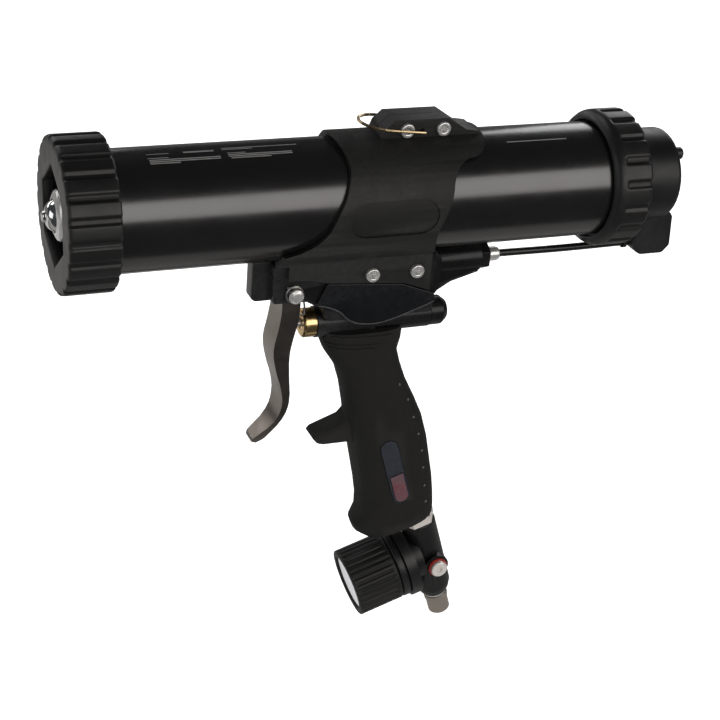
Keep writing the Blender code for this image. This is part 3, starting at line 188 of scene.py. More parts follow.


# finishes: every one has a colour that drifts, a roughness that drifts, a grain, and, where it is hard, lighter edges
# that are partly wear and partly a painted highlight

finishes = {
    "glossAnodised": dict(
        colour=(0.0036, 0.0036, 0.0038), second=(0.0055, 0.0053, 0.005), rough=(0.19, 0.25), metallic=0.0,
        specular=1, grain=(900, 0.02), streak=(4, 700, 700, 0.035), smudge=26,
        wear=(0.036, 0.036, 0.036, 0.15)),
    "satinMoulded": dict(
        colour=(0.0054, 0.0054, 0.0056), second=(0.0081, 0.0079, 0.0077), rough=(0.34, 0.46), metallic=0.0,
        specular=0.36, grain=(1500, 0.1), smudge=40, wear=(0.06, 0.06, 0.06, 0.35)),
    "rearMoulded": dict(
        colour=(0.0049, 0.0049, 0.0054), second=(0.0072, 0.0072, 0.0077), rough=(0.36, 0.5), metallic=0.0,
        specular=0.34, grain=(1300, 0.12), smudge=45, wear=(0.048, 0.048, 0.048, 0.25)),
    "mattMoulded": dict(
        colour=(0.0061, 0.0061, 0.0059), second=(0.0088, 0.0086, 0.0084), rough=(0.5, 0.62), metallic=0.0,
        specular=0.26, grain=(1900, 0.2), smudge=55, wear=(0.048, 0.048, 0.047, 0.3)),
    "paintedCasting": dict(
        colour=(0.0032, 0.0034, 0.0039), second=(0.0055, 0.0056, 0.006), rough=(0.24, 0.3), metallic=0.0,
        specular=0.26, grain=(900, 0.06), smudge=30, wear=(0.054, 0.054, 0.054, 0.4)),
    "glossCover": dict(
        colour=(0.0024, 0.0028, 0.0037), second=(0.0039, 0.0043, 0.0054), rough=(0.12, 0.2), metallic=0.0,
        specular=0.28, grain=(600, 0.05), smudge=50, wear=(0.072, 0.072, 0.072, 0.7)),
    "gripRubber": dict(
        colour=(0.0068, 0.0067, 0.0063), second=(0.0097, 0.0094, 0.0088), rough=(0.62, 0.78), metallic=0.0,
        specular=0.2, grain=(2400, 0.35), smudge=70, wear=(0.042, 0.041, 0.038, 0.25)),
    "knobNylon": dict(
        colour=(0.0059, 0.0059, 0.0056), second=(0.0086, 0.0083, 0.0081), rough=(0.42, 0.56), metallic=0.0,
        specular=0.3, grain=(1600, 0.22), smudge=60, wear=(0.054, 0.054, 0.053, 0.35)),
    # the grip's pips: coloured lighter and glossier than the rubber round them
    "lighterPip": dict(
        colour=(0.05, 0.05, 0.048), second=(0.09, 0.09, 0.086), rough=(0.2, 0.32), metallic=0.0, specular=0.6,
        grain=(1500, 0.08), smudge=200),
    "palePrint": dict(
        colour=(0.2, 0.2, 0.195), second=(0.33, 0.33, 0.32), rough=(0.4, 0.55), metallic=0.0, specular=0.4,
        grain=(1500, 0.05), smudge=300),
    # the cover lip's paint: lighter than the cover, a painted highlight along its lower bevel
    "lipHighlightPaint": dict(
        colour=(0.018, 0.0186, 0.02), second=(0.03, 0.031, 0.033), rough=(0.22, 0.34), metallic=0.0,
        specular=0.6, grain=(1200, 0.06), smudge=120),
    "dialPrint": dict(
        colour=(0.64, 0.64, 0.66), second=(0.72, 0.72, 0.74), rough=(0.32, 0.45), metallic=0.0, specular=0.4,
        grain=(900, 0.05), smudge=80),
    "regulatorPaint": dict(
        colour=(0.004, 0.004, 0.0043), second=(0.0063, 0.0063, 0.0065), rough=(0.3, 0.44), metallic=0.0,
        specular=0.36, grain=(1100, 0.14), smudge=60, wear=(0.054, 0.054, 0.054, 0.4)),
    "satinNickel": dict(
        colour=(0.2, 0.175, 0.155), second=(0.27, 0.24, 0.215), rough=(0.27, 0.38), metallic=1.0, specular=0.5,
        grain=(1400, 0.1), streak=(800, 800, 10, 0.06), smudge=50, wear=(0.5, 0.47, 0.44, 0.3)),
    "zincSteel": dict(
        colour=(0.56, 0.56, 0.55), second=(0.7, 0.69, 0.67), rough=(0.2, 0.36), metallic=0.75, specular=0.5,
        grain=(1800, 0.06), smudge=120, wear=(0.8, 0.8, 0.78, 0.3)),
    "paleNickel": dict(
        colour=(0.62, 0.58, 0.55), second=(0.74, 0.7, 0.66), rough=(0.24, 0.38), metallic=0.45, specular=0.5,
        grain=(1500, 0.05), smudge=140),
    "polishedNickel": dict(
        colour=(0.5, 0.45, 0.4), second=(0.62, 0.56, 0.5), rough=(0.08, 0.18), metallic=1.0, specular=0.5,
        grain=(900, 0.02), streak=(500, 500, 8, 0.05), smudge=70),
    "brightChrome": dict(
        colour=(0.72, 0.72, 0.71), second=(0.8, 0.8, 0.79), rough=(0.06, 0.15), metallic=1.0, specular=0.5,
        grain=(900, 0.02), smudge=90),
    "springWire": dict(
        colour=(0.42, 0.41, 0.39), second=(0.52, 0.51, 0.48), rough=(0.24, 0.36), metallic=1.0, specular=0.5,
        grain=(1500, 0.08), smudge=150),
    "turnedBrass": dict(
        colour=(0.68, 0.46, 0.2), second=(0.8, 0.58, 0.29), rough=(0.16, 0.3), metallic=1.0, specular=0.5,
        grain=(1300, 0.05), smudge=120, wear=(0.95, 0.78, 0.48, 0.4)),
    "bronzeWire": dict(
        colour=(0.45, 0.34, 0.19), second=(0.56, 0.43, 0.26), rough=(0.22, 0.34), metallic=1.0, specular=0.5,
        grain=(1500, 0.06), smudge=160),
    "sealRubber": dict(
        colour=(0.0072, 0.0072, 0.0072), second=(0.0108, 0.0108, 0.0108), rough=(0.55, 0.7), metallic=0.0,
        specular=0.3, grain=(1700, 0.2), smudge=90),
    "redFibre": dict(
        colour=(0.3, 0.018, 0.014), second=(0.4, 0.03, 0.022), rough=(0.5, 0.66), metallic=0.0, specular=0.4,
        grain=(1900, 0.25), smudge=120),
    "castAluminium": dict(
        colour=(0.46, 0.46, 0.46), second=(0.55, 0.55, 0.55), rough=(0.34, 0.48), metallic=1.0, specular=0.5,
        grain=(1100, 0.12), smudge=90),
    "badgeDark": dict(
        colour=(0.0072, 0.0096, 0.0156), second=(0.0132, 0.0168, 0.024), rough=(0.16, 0.26), metallic=0.0,
        specular=0.5, grain=(700, 0.03), smudge=120, wear=(0.18, 0.186, 0.198, 0.9)),
    "badgePale": dict(
        colour=(0.07, 0.074, 0.08), second=(0.13, 0.02, 0.03), rough=(0.2, 0.3), metallic=0.0, specular=0.5,
        grain=(900, 0.05), smudge=160),
    "hoseNylon": dict(
        colour=(0.0048, 0.0048, 0.0051), second=(0.0072, 0.0072, 0.0075), rough=(0.2, 0.3), metallic=0.0,
        specular=0.45, grain=(800, 0.04), smudge=60),
}

surface = {  # shared by every finish: noise detail, how far the lighter edges (part wear, part painted highlight) reach, and the grain's depth in metres
    "driftDetail": 5.0, "driftRoughness": 0.6, "cloudSize": 2.3, "cloudDetail": 6.0, "cloudRoughness": 0.65,
    "wearFrom": 0.52, "wearTo": 0.62, "wearBreak": 9, "grainDetail": 3.0, "bump": 0.0003,
}


def node(tree, kind, values=None, **settings):
    made = tree.nodes.new(kind)
    for key, value in settings.items():
        setattr(made, key, value)
    for key, value in (values or {}).items():
        if isinstance(value, bpy.types.NodeSocket):
            tree.links.new(value, made.inputs[key])
        else:
            made.inputs[key].default_value = value
    return made


def makeFinish(name, look):
    paint = bpy.data.materials.new(name)
    paint.use_nodes = True
    tree = paint.node_tree
    shader = tree.nodes["Principled BSDF"]
    place = node(tree, "ShaderNodeTexCoord").outputs["Object"]
    drift = node(tree, "ShaderNodeTexNoise", {
        "Vector": place, "Scale": look["smudge"], "Detail": surface["driftDetail"],
        "Roughness": surface["driftRoughness"]})
    tone = node(tree, "ShaderNodeMix", {
        "Factor": drift.outputs["Fac"], 6: (*look["colour"], 1), 7: (*look["second"], 1)}, data_type="RGBA")
    colour = tone.outputs[2]
    # convex edges, found by pointiness, are mixed towards a lighter colour: part wear, part painted highlight along the
    # edges
    if "wear" in look:
        *edgeTone, amount = look["wear"]
        point = node(tree, "ShaderNodeNewGeometry").outputs["Pointiness"]
        edge = node(tree, "ShaderNodeMapRange", {
            "Value": point, "From Min": surface["wearFrom"], "From Max": surface["wearTo"], "To Min": 0.0,
            "To Max": amount})
        broken = node(tree, "ShaderNodeTexNoise", {
            "Vector": place, "Scale": look["smudge"] * surface["wearBreak"], "Detail": surface["grainDetail"]})
        share = node(tree, "ShaderNodeMath", {
            0: edge.outputs["Result"], 1: broken.outputs["Fac"]}, operation="MULTIPLY")
        wornAndLitEdge = node(tree, "ShaderNodeMix", {
            "Factor": share.outputs[0], 6: colour, 7: (*edgeTone, 1)}, data_type="RGBA")
        colour = wornAndLitEdge.outputs[2]
    tree.links.new(colour, shader.inputs["Base Color"])
    cloud = node(tree, "ShaderNodeTexNoise", {
        "Vector": place, "Scale": look["smudge"] * surface["cloudSize"],
        "Detail": surface["cloudDetail"], "Roughness": surface["cloudRoughness"]})
    low, high = look["rough"]
    rough = node(tree, "ShaderNodeMapRange", {
        "Value": cloud.outputs["Fac"], "From Min": 0.3, "From Max": 0.7, "To Min": low, "To Max": high})
    tree.links.new(rough.outputs["Result"], shader.inputs["Roughness"])
    scale, depth = look["grain"]
    grain = node(tree, "ShaderNodeTexNoise", {
        "Vector": place, "Scale": scale, "Detail": surface["grainDetail"], "Roughness": surface["driftRoughness"]})
    bump = node(tree, "ShaderNodeBump", {
        "Height": grain.outputs["Fac"], "Strength": depth, "Distance": surface["bump"]})
    if "streak" in look:
        *stretch, strength = look["streak"]
        along = node(tree, "ShaderNodeMapping", {"Vector": place, "Scale": stretch})
        lines = node(tree, "ShaderNodeTexNoise", {"Vector": along.outputs["Vector"], "Scale": 1.0, "Detail": 2.0})
        bump = node(tree, "ShaderNodeBump", {
            "Height": lines.outputs["Fac"], "Strength": strength, "Distance": surface["bump"],
            "Normal": bump.outputs["Normal"]})
    tree.links.new(bump.outputs["Normal"], shader.inputs["Normal"])
    shader.inputs["Metallic"].default_value = look["metallic"]
    shader.inputs["Specular IOR Level"].default_value = look["specular"]
    return paint


finishOfSlot = {
    "barrel_black": "glossAnodised", "cap_black": "satinMoulded", "rear_cap_black": "rearMoulded",
    "saddle_black": "mattMoulded", "receiver_black": "paintedCasting", "cover_black": "glossCover",
    "grip_rubber": "gripRubber", "knob_black": "knobNylon", "knob_disc": "dialPrint",
    "regulator_black": "regulatorPaint", "trigger_nickel": "satinNickel", "steel": "zincSteel",
    "chrome": "brightChrome", "spring_steel": "springWire", "brass": "turnedBrass", "seal_black": "sealRubber",
    "washer_red": "redFibre", "piston_aluminium": "castAluminium", "badge_dark": "badgeDark",
    "badge_inlay": "badgePale", "hose_black": "hoseNylon",
}
finishOfNode = {
    "hang_loop": "bronzeWire", "inlet_seal": "zincSteel", "grip_nut": "paleNickel", "port_screw": "paleNickel",
    "inlet_nipple": "polishedNickel",
}
paints = {name: makeFinish(name, look) for name, look in finishes.items()}


def paintOf(name):
    return paints[finishOfNode.get(name) or finishOfSlot[slotOf[name]]]


# hard pieces: each with its edges broken, as a machinist or a mould would leave them

softEdges = {  # node: edge radius in millimetres
    "rear_cap": 0.8, "saddle_left": 0.7, "saddle_right": 0.7, "receiver": 0.6, "side_cover_left": 0.5,
    "side_cover_right": 0.5, "trigger": 0.45, "grip_sleeve": 0.9, "regulator_body": 0.5, "knob_disc": 0.15,
    "valve_bush": 0.2, "valve_plug": 0.4, "hose_fitting": 0.25, "fitting_collet": 0.2, "rear_collet": 0.2, "grip_nut": 0.3,
    "inlet_nipple": 0.15, "inlet_seal": 0.2, "port_washer": 0.15, "port_screw": 0.2, "port_plug": 0.2,
    "piston_washer": 0.2, "badge_plate": 0.12, "bleed_plug": 0.2, "trigger_pin": 0.2,
}

edgeWork = {
    "merge": 2e-6, "shortest": 1e-6, "flatWithin": 0.6,  # metres, metres, degrees
    "crease": 52, "breakFrom": 34, "steps": 3, "weight": 60,
}


def pieceName(name):
    first, *rest = name.split("_")
    return first + "".join(word.capitalize() for word in rest)


def softened(name, radius):
    work = bmesh.new()
    work.from_mesh(nodes[name].data)
    bmesh.ops.remove_doubles(work, verts=work.verts, dist=edgeWork["merge"])
    bmesh.ops.dissolve_degenerate(work, edges=work.edges, dist=edgeWork["shortest"])
    flat = math.radians(edgeWork["flatWithin"])
    bmesh.ops.dissolve_limit(work, angle_limit=flat, verts=work.verts, edges=work.edges)
    for face in work.faces:
        face.smooth = True
    for edge in work.edges:
        creased = len(edge.link_faces) == 2 and edge.calc_face_angle(0) > math.radians(edgeWork["crease"])
        edge.smooth = not creased
    mesh = bpy.data.meshes.new(pieceName(name))
    work.to_mesh(mesh)
    work.free()
    piece = bpy.data.objects.new(pieceName(name), mesh)
    bpy.context.scene.collection.objects.link(piece)
    mesh.materials.append(paintOf(name))
    bevel = piece.modifiers.new("brokenEdges", "BEVEL")
    bevel.width, bevel.segments = radius * millimetre, edgeWork["steps"]
    bevel.limit_method, bevel.angle_limit = "ANGLE", math.radians(edgeWork["breakFrom"])
    bevel.use_clamp_overlap, bevel.miter_outer = True, "MITER_ARC"
    even = piece.modifiers.new("evenShading", "WEIGHTED_NORMAL")
    even.keep_sharp, even.weight = False, edgeWork["weight"]
    return hand(piece, name)


def hand(piece, *stood):
    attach(piece, bodyOf[stood[0]])
    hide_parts(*stood)
    return piece


def dressNodes():
    for name, item in nodes.items():
        item.data.materials.clear()
        item.data.materials.append(paintOf(name))
        for face in item.data.polygons:
            face.material_index = 0


# turned pieces on the barrel's axis: stations are (place along the axis, radius), in millimetres

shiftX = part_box("front_cap")[0].x  # the front cap's face is the start of the axis


def onBarrel(x, y, z):
    return Vector((shiftX + x * millimetre, y * millimetre, axisHeight + z * millimetre))


def hexagon(across, turn):
    def radius(angle):
        wedge = (angle - math.radians(turn)) % (math.pi / 3) - math.pi / 6
        return across * math.cos(math.pi / 6) / math.cos(wedge)
    return radius


def turnedShell(name, stations, segments, place=None):
    mesh = bpy.data.meshes.new(name)
    points, faces = [], []
    place = place or onBarrel
    for x, radius in stations:
        for step in range(segments):
            angle = 2 * math.pi * step / segments
            reach = radius(angle) if callable(radius) else radius
            points.append(place(x, -reach * math.cos(angle), reach * math.sin(angle)))
    rings = len(stations)
    for ring in range(rings):
        a, b = ring * segments, (ring + 1) % rings * segments
        for step in range(segments):
            after = (step + 1) % segments
            faces.append((a + step, a + after, b + after, b + step))
    mesh.from_pydata(points, [], faces)
    work = bmesh.new()
    work.from_mesh(mesh)
    bmesh.ops.recalc_face_normals(work, faces=work.faces)
    for face in work.faces:
        face.smooth = True
    work.to_mesh(mesh)
    work.free()
    piece = bpy.data.objects.new(name, mesh)
    bpy.context.scene.collection.objects.link(piece)
    return piece


def newTree(name, sockets):
    tree = bpy.data.node_groups.new(name, "GeometryNodeTree")
    tree.interface.new_socket("Geometry", in_out="OUTPUT", socket_type="NodeSocketGeometry")
    for label, kind in {"Geometry": "NodeSocketGeometry", **sockets}.items():
        tree.interface.new_socket(label, in_out="INPUT", socket_type=kind)
    return tree, tree.nodes.new("NodeGroupInput").outputs, tree.nodes.new("NodeGroupOutput").inputs


def endTree(tree, result, geometry, material):
    real = node(tree, "GeometryNodeRealizeInstances", {"Geometry": geometry})
    painted = node(tree, "GeometryNodeSetMaterial", {"Geometry": real.outputs["Geometry"], "Material": material})
    tree.links.new(painted.outputs["Geometry"], result["Geometry"])


def grown(piece, tree, values):
    step = piece.modifiers.new(tree.name, "NODES")
    step.node_group = tree
    for item in tree.interface.items_tree:
        if item.in_out == "INPUT" and item.name in values:
            step[item.identifier] = values[item.name]
    view = bpy.context.evaluated_depsgraph_get()
    view.update()
    mesh = bpy.data.meshes.new_from_object(piece.evaluated_get(view))
    piece.modifiers.remove(step)
    piece.data = mesh
    return piece


def buildGripTree():
    number = "NodeSocketFloat"
    tree, given, result = newTree("gripGrooves", {
        "Count": number, "Depth": number, "Half Width": number, "Shoulder": number, "Turn": number,
        "Axis Height": number, "From X": number, "To X": number, "Run Out": number, "From Radius": number,
        "Material": "NodeSocketMaterial"})

    def maths(operation, a, b=0.0, c=0.0):
        return node(tree, "ShaderNodeMath", {0: a, 1: b, 2: c}, operation=operation).outputs[0]

    place = node(tree, "GeometryNodeInputPosition").outputs[0]
    axes = node(tree, "ShaderNodeSeparateXYZ", {0: place}).outputs
    rise = maths("SUBTRACT", axes["Z"], given["Axis Height"])
    side = maths("MULTIPLY", axes["Y"], -1.0)
    angle = maths("DIVIDE", maths("ARCTAN2", rise, side), 2 * math.pi)
    turns = maths("MULTIPLY", maths("SUBTRACT", angle, given["Turn"]), given["Count"])
    share = maths("FRACT", maths("ADD", turns, 100.5))
    off = maths("ABSOLUTE", maths("SUBTRACT", share, 0.5))

    def fade(value, low, high, first, last):
        ramp = node(tree, "ShaderNodeMapRange", {
            "Value": value, "From Min": low, "From Max": high, "To Min": first, "To Max": last},
            interpolation_type="SMOOTHSTEP")
        return ramp.outputs["Result"]

    cut = fade(off, given["Half Width"], maths("ADD", given["Half Width"], given["Shoulder"]), 1.0, 0.0)
    start = fade(axes["X"], given["From X"], maths("ADD", given["From X"], given["Run Out"]), 0.0, 1.0)
    stop = fade(axes["X"], maths("SUBTRACT", given["To X"], given["Run Out"]), given["To X"], 1.0, 0.0)
    radius = maths("SQRT", maths("ADD", maths("MULTIPLY", rise, rise), maths("MULTIPLY", side, side)))
    outside = maths("GREATER_THAN", radius, given["From Radius"])
    within = maths("MULTIPLY", cut, maths("MULTIPLY", start, stop))
    deep = maths("MULTIPLY", within, maths("MULTIPLY", outside, given["Depth"]))
    inward = maths("DIVIDE", maths("MULTIPLY", deep, -1.0), radius)
    move = node(tree, "ShaderNodeCombineXYZ", {
        "X": 0.0, "Y": maths("MULTIPLY", axes["Y"], inward), "Z": maths("MULTIPLY", rise, inward)})
    moved = node(tree, "GeometryNodeSetPosition", {"Geometry": given["Geometry"], "Offset": move.outputs[0]})
    endTree(tree, result, moved.outputs["Geometry"], given["Material"])
    return tree


barrel = {"front": 7.0, "rear": 291.5, "radius": 30.0, "bore": 27.5, "edge": 0.5, "segments": 192}
frontCap = {
    "length": 25.0, "radius": 38.1, "bore": 31.3, "wall": 5.0, "opening": 25.0, "openingTurn": 8.0,
    "rim": ((3.2, 0), (0.8, 0), (0.25, 0.25), (0, 0.8), (0, 2.2)),  # place, how far past the opening
    "face": ((0, 29.0), (0, 33.0), (0, 36.4), (0.15, 37.1), (0.5, 37.65), (1.1, 38.0)), "land": 1.9,
    "backEdge": ((1.5, 0), (0.7, 0.2), (0.2, 0.7), (0, 1.4)),  # before the end, inside the radius
    "back": 34.0, "mouth": 0.5, "thread": 15.0,
    "grooves": 22, "depth": 1.25, "halfWidth": 0.11, "shoulder": 0.1, "turn": 65.7,
    "grooved": (-2, 30), "runOut": 1.0, "above": 35.8, "segments": 352,
}
rearRing = {
    "front": 283.2, "rear": 304.6, "radius": 36.2, "lip": 30.9, "bore": 31.5, "mouth": 0.5, "inside": 6,
    "flare": ((0.6, 0), (0, 0.5), (0.1, 1.4), (1.0, 2.9), (2.2, 4.1), (3.6, 4.9)),  # from the front, past the lip
    "crown": ((4.8, 0.12), (5.6, 0)),
    "backEdge": ((2.2, 0), (1.3, 0.2), (0.6, 0.65), (0.15, 1.4), (0, 2.4)),
    "grooves": 18, "depth": 1.3, "halfWidth": 0.1, "shoulder": 0.09, "turn": 74.3,
    "grooved": (288.6, 307.6), "runOut": 1.2, "above": 33.5, "segments": 324,
}
domeNut = {
    "segments": 64,
    "stations": ((11.5, 4.0), (11.5, 7.7), (3.0, 7.75), (1.6, 7.7), (0.2, 7.45), (-1.0, 6.9), (-2.1, 6.0), (-2.9, 4.9),
                 (-3.3, 3.9), (-3.5, 3.0), (-3.9, 2.75), (-4.5, 2.6), (-5.0, 2.1), (-5.25, 1.2), (-5.3, 0.02),
                 (4.0, 0.02)),
}
knob = {  # built along its own axis, then turned to the regulator's tilt
    "length": 27.0, "radius": 19.7, "bore": 4.0, "disc": 15.6, "tilt": math.radians(17.8),
    "foot": ((0, 1.6), (0.2, 0.8), (0.8, 0.2), (1.6, 0.02)),  # from the back, inside the radius
    "frontEdge": ((2.4, 0), (0.9, 0), (0.35, 0.15), (0.08, 0.5), (0, 0.95)),
    "dish": ((0, 1.0), (0.12, 0.5), (0.5, 0.25), (2.5, 0.2)),  # before the front, outside the disc
    "grooves": 32, "depth": 0.8, "halfWidth": 0.12, "shoulder": 0.16, "turn": 3.6,
    "grooved": (2.2, 25.6), "runOut": 1.2, "above": 17.5, "segments": 384,
}
bonnetRing = {"back": -4.7, "front": -0.35, "radius": 19.75, "bore": 4.0, "edge": 0.5, "segments": 128}  # behind the knob


def spread(start, end, count):
    return [start + (end - start) * step / count for step in range(1, count)]


def inMillimetres(x, y, z):
    return Vector((x, y, z)) * millimetre


def cutGrooves(piece, tree, size, stands, startX, height):
    low, high = size["grooved"]
    grown(piece, tree, {
        "Count": size["grooves"], "Depth": size["depth"] * millimetre, "Half Width": size["halfWidth"],
        "Shoulder": size["shoulder"], "Turn": size["turn"] / 360, "Axis Height": height,
        "From X": startX + low * millimetre, "To X": startX + high * millimetre,
        "Run Out": size["runOut"] * millimetre, "From Radius": size["above"] * millimetre, "Material": paintOf(stands)})


def buildBarrel():
    size = barrel
    front, rear, outer, edge = size["front"], size["rear"], size["radius"], size["edge"]
    stations = [(front, size["bore"]), (front, outer - edge), (front + edge, outer)]
    stations += [(x, outer) for x in spread(front, rear, 40)]
    stations += [(rear - edge, outer), (rear, outer - edge), (rear, size["bore"])]
    shell = turnedShell("barrelTube", stations, size["segments"])
    shell.data.materials.append(paintOf("barrel_tube"))
    hand(shell, "barrel_tube")


def buildFrontCap(tree):
    size = frontCap
    hole = hexagon(size["opening"], size["openingTurn"] + 30)

    def rim(grow):
        return lambda angle: hole(angle) + grow

    end, outer, bore, mouth = size["length"], size["radius"], size["bore"], size["mouth"]
    stations = [(size["wall"], rim(0)), *[(x, rim(grow)) for x, grow in size["rim"]]]
    stations += [*size["face"], (size["land"], outer)]
    stations += [(x, outer) for x in spread(size["land"], end - size["backEdge"][0][0], 14)]
    stations += [(end - x, outer - drop) for x, drop in size["backEdge"]]
    stations += [(end, size["back"]), (end, bore + mouth), (end - mouth, bore), (size["thread"], bore), (size["wall"], bore)]
    cap = turnedShell("frontCap", stations, size["segments"])
    cutGrooves(cap, tree, size, "front_cap", shiftX, axisHeight)
    hand(cap, "front_cap")


def buildRearRing(tree):
    size = rearRing
    front, rear, outer, bore, mouth = size["front"], size["rear"], size["radius"], size["bore"], size["mouth"]
    stations = [(front + size["inside"], bore), *[(front + x, size["lip"] + out) for x, out in size["flare"]]]
    stations += [(front + x, outer - drop) for x, drop in size["crown"]]
    stations += [(x, outer) for x in spread(front + size["crown"][-1][0], rear - size["backEdge"][0][0], 14)]
    stations += [(rear - x, outer - drop) for x, drop in size["backEdge"]]
    stations += [(rear, bore + mouth), (rear - mouth, bore)]
    ring = turnedShell("rearRing", stations, size["segments"])
    cutGrooves(ring, tree, size, "rear_ring", shiftX, axisHeight)
    hand(ring, "rear_ring")


def buildNut():
    nut = turnedShell("pistonNut", domeNut["stations"], domeNut["segments"])
    nut.data.materials.append(paintOf("piston_nut"))
    hand(nut, "piston_nut")


def buildKnob(tree):
    size = knob
    long, outer, disc = size["length"], size["radius"], size["disc"]
    footX, footDrop = size["foot"][-1]
    edgeX = long - size["frontEdge"][0][0]
    stations = [(0, size["bore"]), *[(x, outer - drop) for x, drop in size["foot"]]]
    stations += [(x, outer - footDrop * (1 - x / long)) for x in spread(footX, edgeX, 16)]
    stations += [(long - x, outer - drop) for x, drop in size["frontEdge"]]
    stations += [(long - x, disc + out) for x, out in size["dish"]]
    stations += [(long - size["dish"][-1][0], size["bore"])]
    handle = turnedShell("regulatorKnob", stations, size["segments"], inMillimetres)
    cutGrooves(handle, tree, size, "regulator_knob", 0.0, 0.0)
    low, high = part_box("regulator_knob")
    across, up = outer * millimetre * math.sin(size["tilt"]), outer * millimetre * math.cos(size["tilt"])
    forward = Vector((-math.cos(size["tilt"]), 0, -math.sin(size["tilt"])))
    right = Vector((0, -1, 0))
    turn = Matrix((forward, right, forward.cross(right))).transposed().to_4x4()
    seat = Matrix.Translation((high.x - across, 0, high.z - up)) @ turn
    handle.data.transform(seat)
    hand(handle, "regulator_knob")
    return seat


def buildBonnetRing(seat):
    size = bonnetRing
    back, front, outer, edge = size["back"], size["front"], size["radius"], size["edge"]
    softer = edge * 0.3
    stations = [(back, size["bore"]), (back, outer - edge), (back + softer, outer - softer), (back + edge, outer)]
    stations += [(front - edge, outer), (front - softer, outer - softer), (front, outer - edge), (front, size["bore"])]
    ring = turnedShell("bonnetRing", stations, size["segments"], inMillimetres)
    ring.data.transform(seat)
    ring.data.materials.append(paintOf("bonnet_ring"))
    hand(ring, "bonnet_ring")


def buildTurned():
    tree = buildGripTree()
    buildBarrel()
    buildFrontCap(tree)
    buildRearRing(tree)
    buildNut()
    buildBonnetRing(buildKnob(tree))
    print("turned pieces ready")


# what repeats: screws with hexagon sockets, and the small pips on the grip

screws = {
    "headRadius": 3.7, "headHeight": 4.0, "rise": 0.2, "socket": 1.9, "socketDepth": 1.6, "socketRim": 2.35,
    "edge": ((0.9, 0), (0.5, 0.07), (0.2, 0.25), (0.04, 0.5), (0, 0.8)),  # below the top, inside the head
    "shank": 1.9, "shankLength": 10, "segments": 48,
    "nodes": ("rail_screw_front", "rail_screw_rear", "clamp_screw_front", "clamp_screw_rear"),
}
gripPips = {
    "radius": 0.8, "height": 0.35, "root": 0.3, "sides": 16, "node": "grip_sleeve",
    "spots": ((182, -106), (188, -116), (192, -127), (196, -138), (199, -149), (201, -160), (203, -172), (205, -183)),
}
nearlyClosed = 0.02  # the radius left at a pole


def buildSpotTree():
    tree, given, result = newTree("onEverySpot", {
        "Pattern": "NodeSocketObject", "Size": "NodeSocketFloat", "Material": "NodeSocketMaterial"})
    pattern = node(tree, "GeometryNodeObjectInfo", {"Object": given["Pattern"]}).outputs["Geometry"]
    points = node(tree, "GeometryNodeMeshToPoints", {"Mesh": given["Geometry"]}).outputs["Points"]
    stored = node(tree, "GeometryNodeInputNamedAttribute", {"Name": "facing"}, data_type="FLOAT_VECTOR")
    facing = stored.outputs["Attribute"]
    turn = node(tree, "FunctionNodeAlignRotationToVector", {"Vector": facing}, axis="Z").outputs["Rotation"]
    copies = node(tree, "GeometryNodeInstanceOnPoints", {
        "Points": points, "Instance": pattern, "Rotation": turn, "Scale": given["Size"]})
    endTree(tree, result, copies.outputs["Instances"], given["Material"])
    return tree


def skinOf(name):
    view = bpy.context.evaluated_depsgraph_get()
    return BVHTree.FromObject(bpy.data.objects[pieceName(name)], view)


def onSkin(skin, start, side):
    start.y = side * 0.05  # well outside the grip, looking in
    return skin.ray_cast(start, Vector((0, -side, 0)))[:2]


def fromAxis(x, y, z):  # a pattern's own place: built along Z
    return Vector((y * millimetre, z * millimetre, x * millimetre))


def onSpots(name, tree, pattern, spots, material):
    mesh = bpy.data.meshes.new(name)
    mesh.from_pydata([place for place, facing in spots], [], [])
    facing = mesh.attributes.new("facing", "FLOAT_VECTOR", "POINT")
    for item, (place, way) in zip(facing.data, spots):
        item.vector = way
    piece = bpy.data.objects.new(name, mesh)
    bpy.context.scene.collection.objects.link(piece)
    grown(piece, tree, {"Pattern": pattern, "Size": 1.0, "Material": material})
    bpy.data.objects.remove(pattern)
    return piece


def buildRepeats():
    tree = buildSpotTree()
    size = screws
    tall, wide, deep, rise = size["headHeight"], size["headRadius"], size["socketDepth"], size["rise"]
    foot = -tall - size["shankLength"]
    socket = hexagon(size["socket"], 0)
    stations = [(foot, nearlyClosed), (foot, size["shank"]), (-tall, size["shank"]), (-tall, wide - rise), (-tall + rise, wide)]
    stations += [(-x, wide - drop) for x, drop in size["edge"]]
    stations += [(0, size["socketRim"]), (-0.12, lambda angle: socket(angle) + 0.12), (-0.35, socket), (-deep, socket),
                 (-deep - 0.5, nearlyClosed)]
    head = turnedShell("screwHead", stations, size["segments"], fromAxis)
    spots = []
    for name in size["nodes"]:
        low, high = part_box(name)
        spots.append((((low.x + high.x) / 2, low.y, (low.z + high.z) / 2), (0, -1, 0)))
    made = onSpots("socketScrews", tree, head, spots, paints["zincSteel"])
    hand(made, *size["nodes"])
    size = gripPips
    skin = skinOf(size["node"])
    spots = []
    for x, z in size["spots"]:
        for side in (-1, 1):
            place, way = onSkin(skin, onBarrel(x, 0, z), side)
            if place:
                spots.append((place, way))
    rise, wide, root = size["height"], size["radius"], -size["root"]
    stations = [(root, 0.01), (root, wide), (0, wide), (rise * 0.55, wide * 0.86), (rise * 0.9, wide * 0.5), (rise, 0.01)]
    pip = turnedShell("pip", stations, size["sides"], fromAxis)
    made = onSpots("gripPips", tree, pip, spots, paints["lighterPip"])
    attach(made, bodyOf[size["node"]])
    print("screws and pips ready:", len(spots))


# beads: a raised lip along each side cover's lower edge, coloured lighter than the cover as a painted highlight on its
# lower bevel, and the ridges on the grip's neck

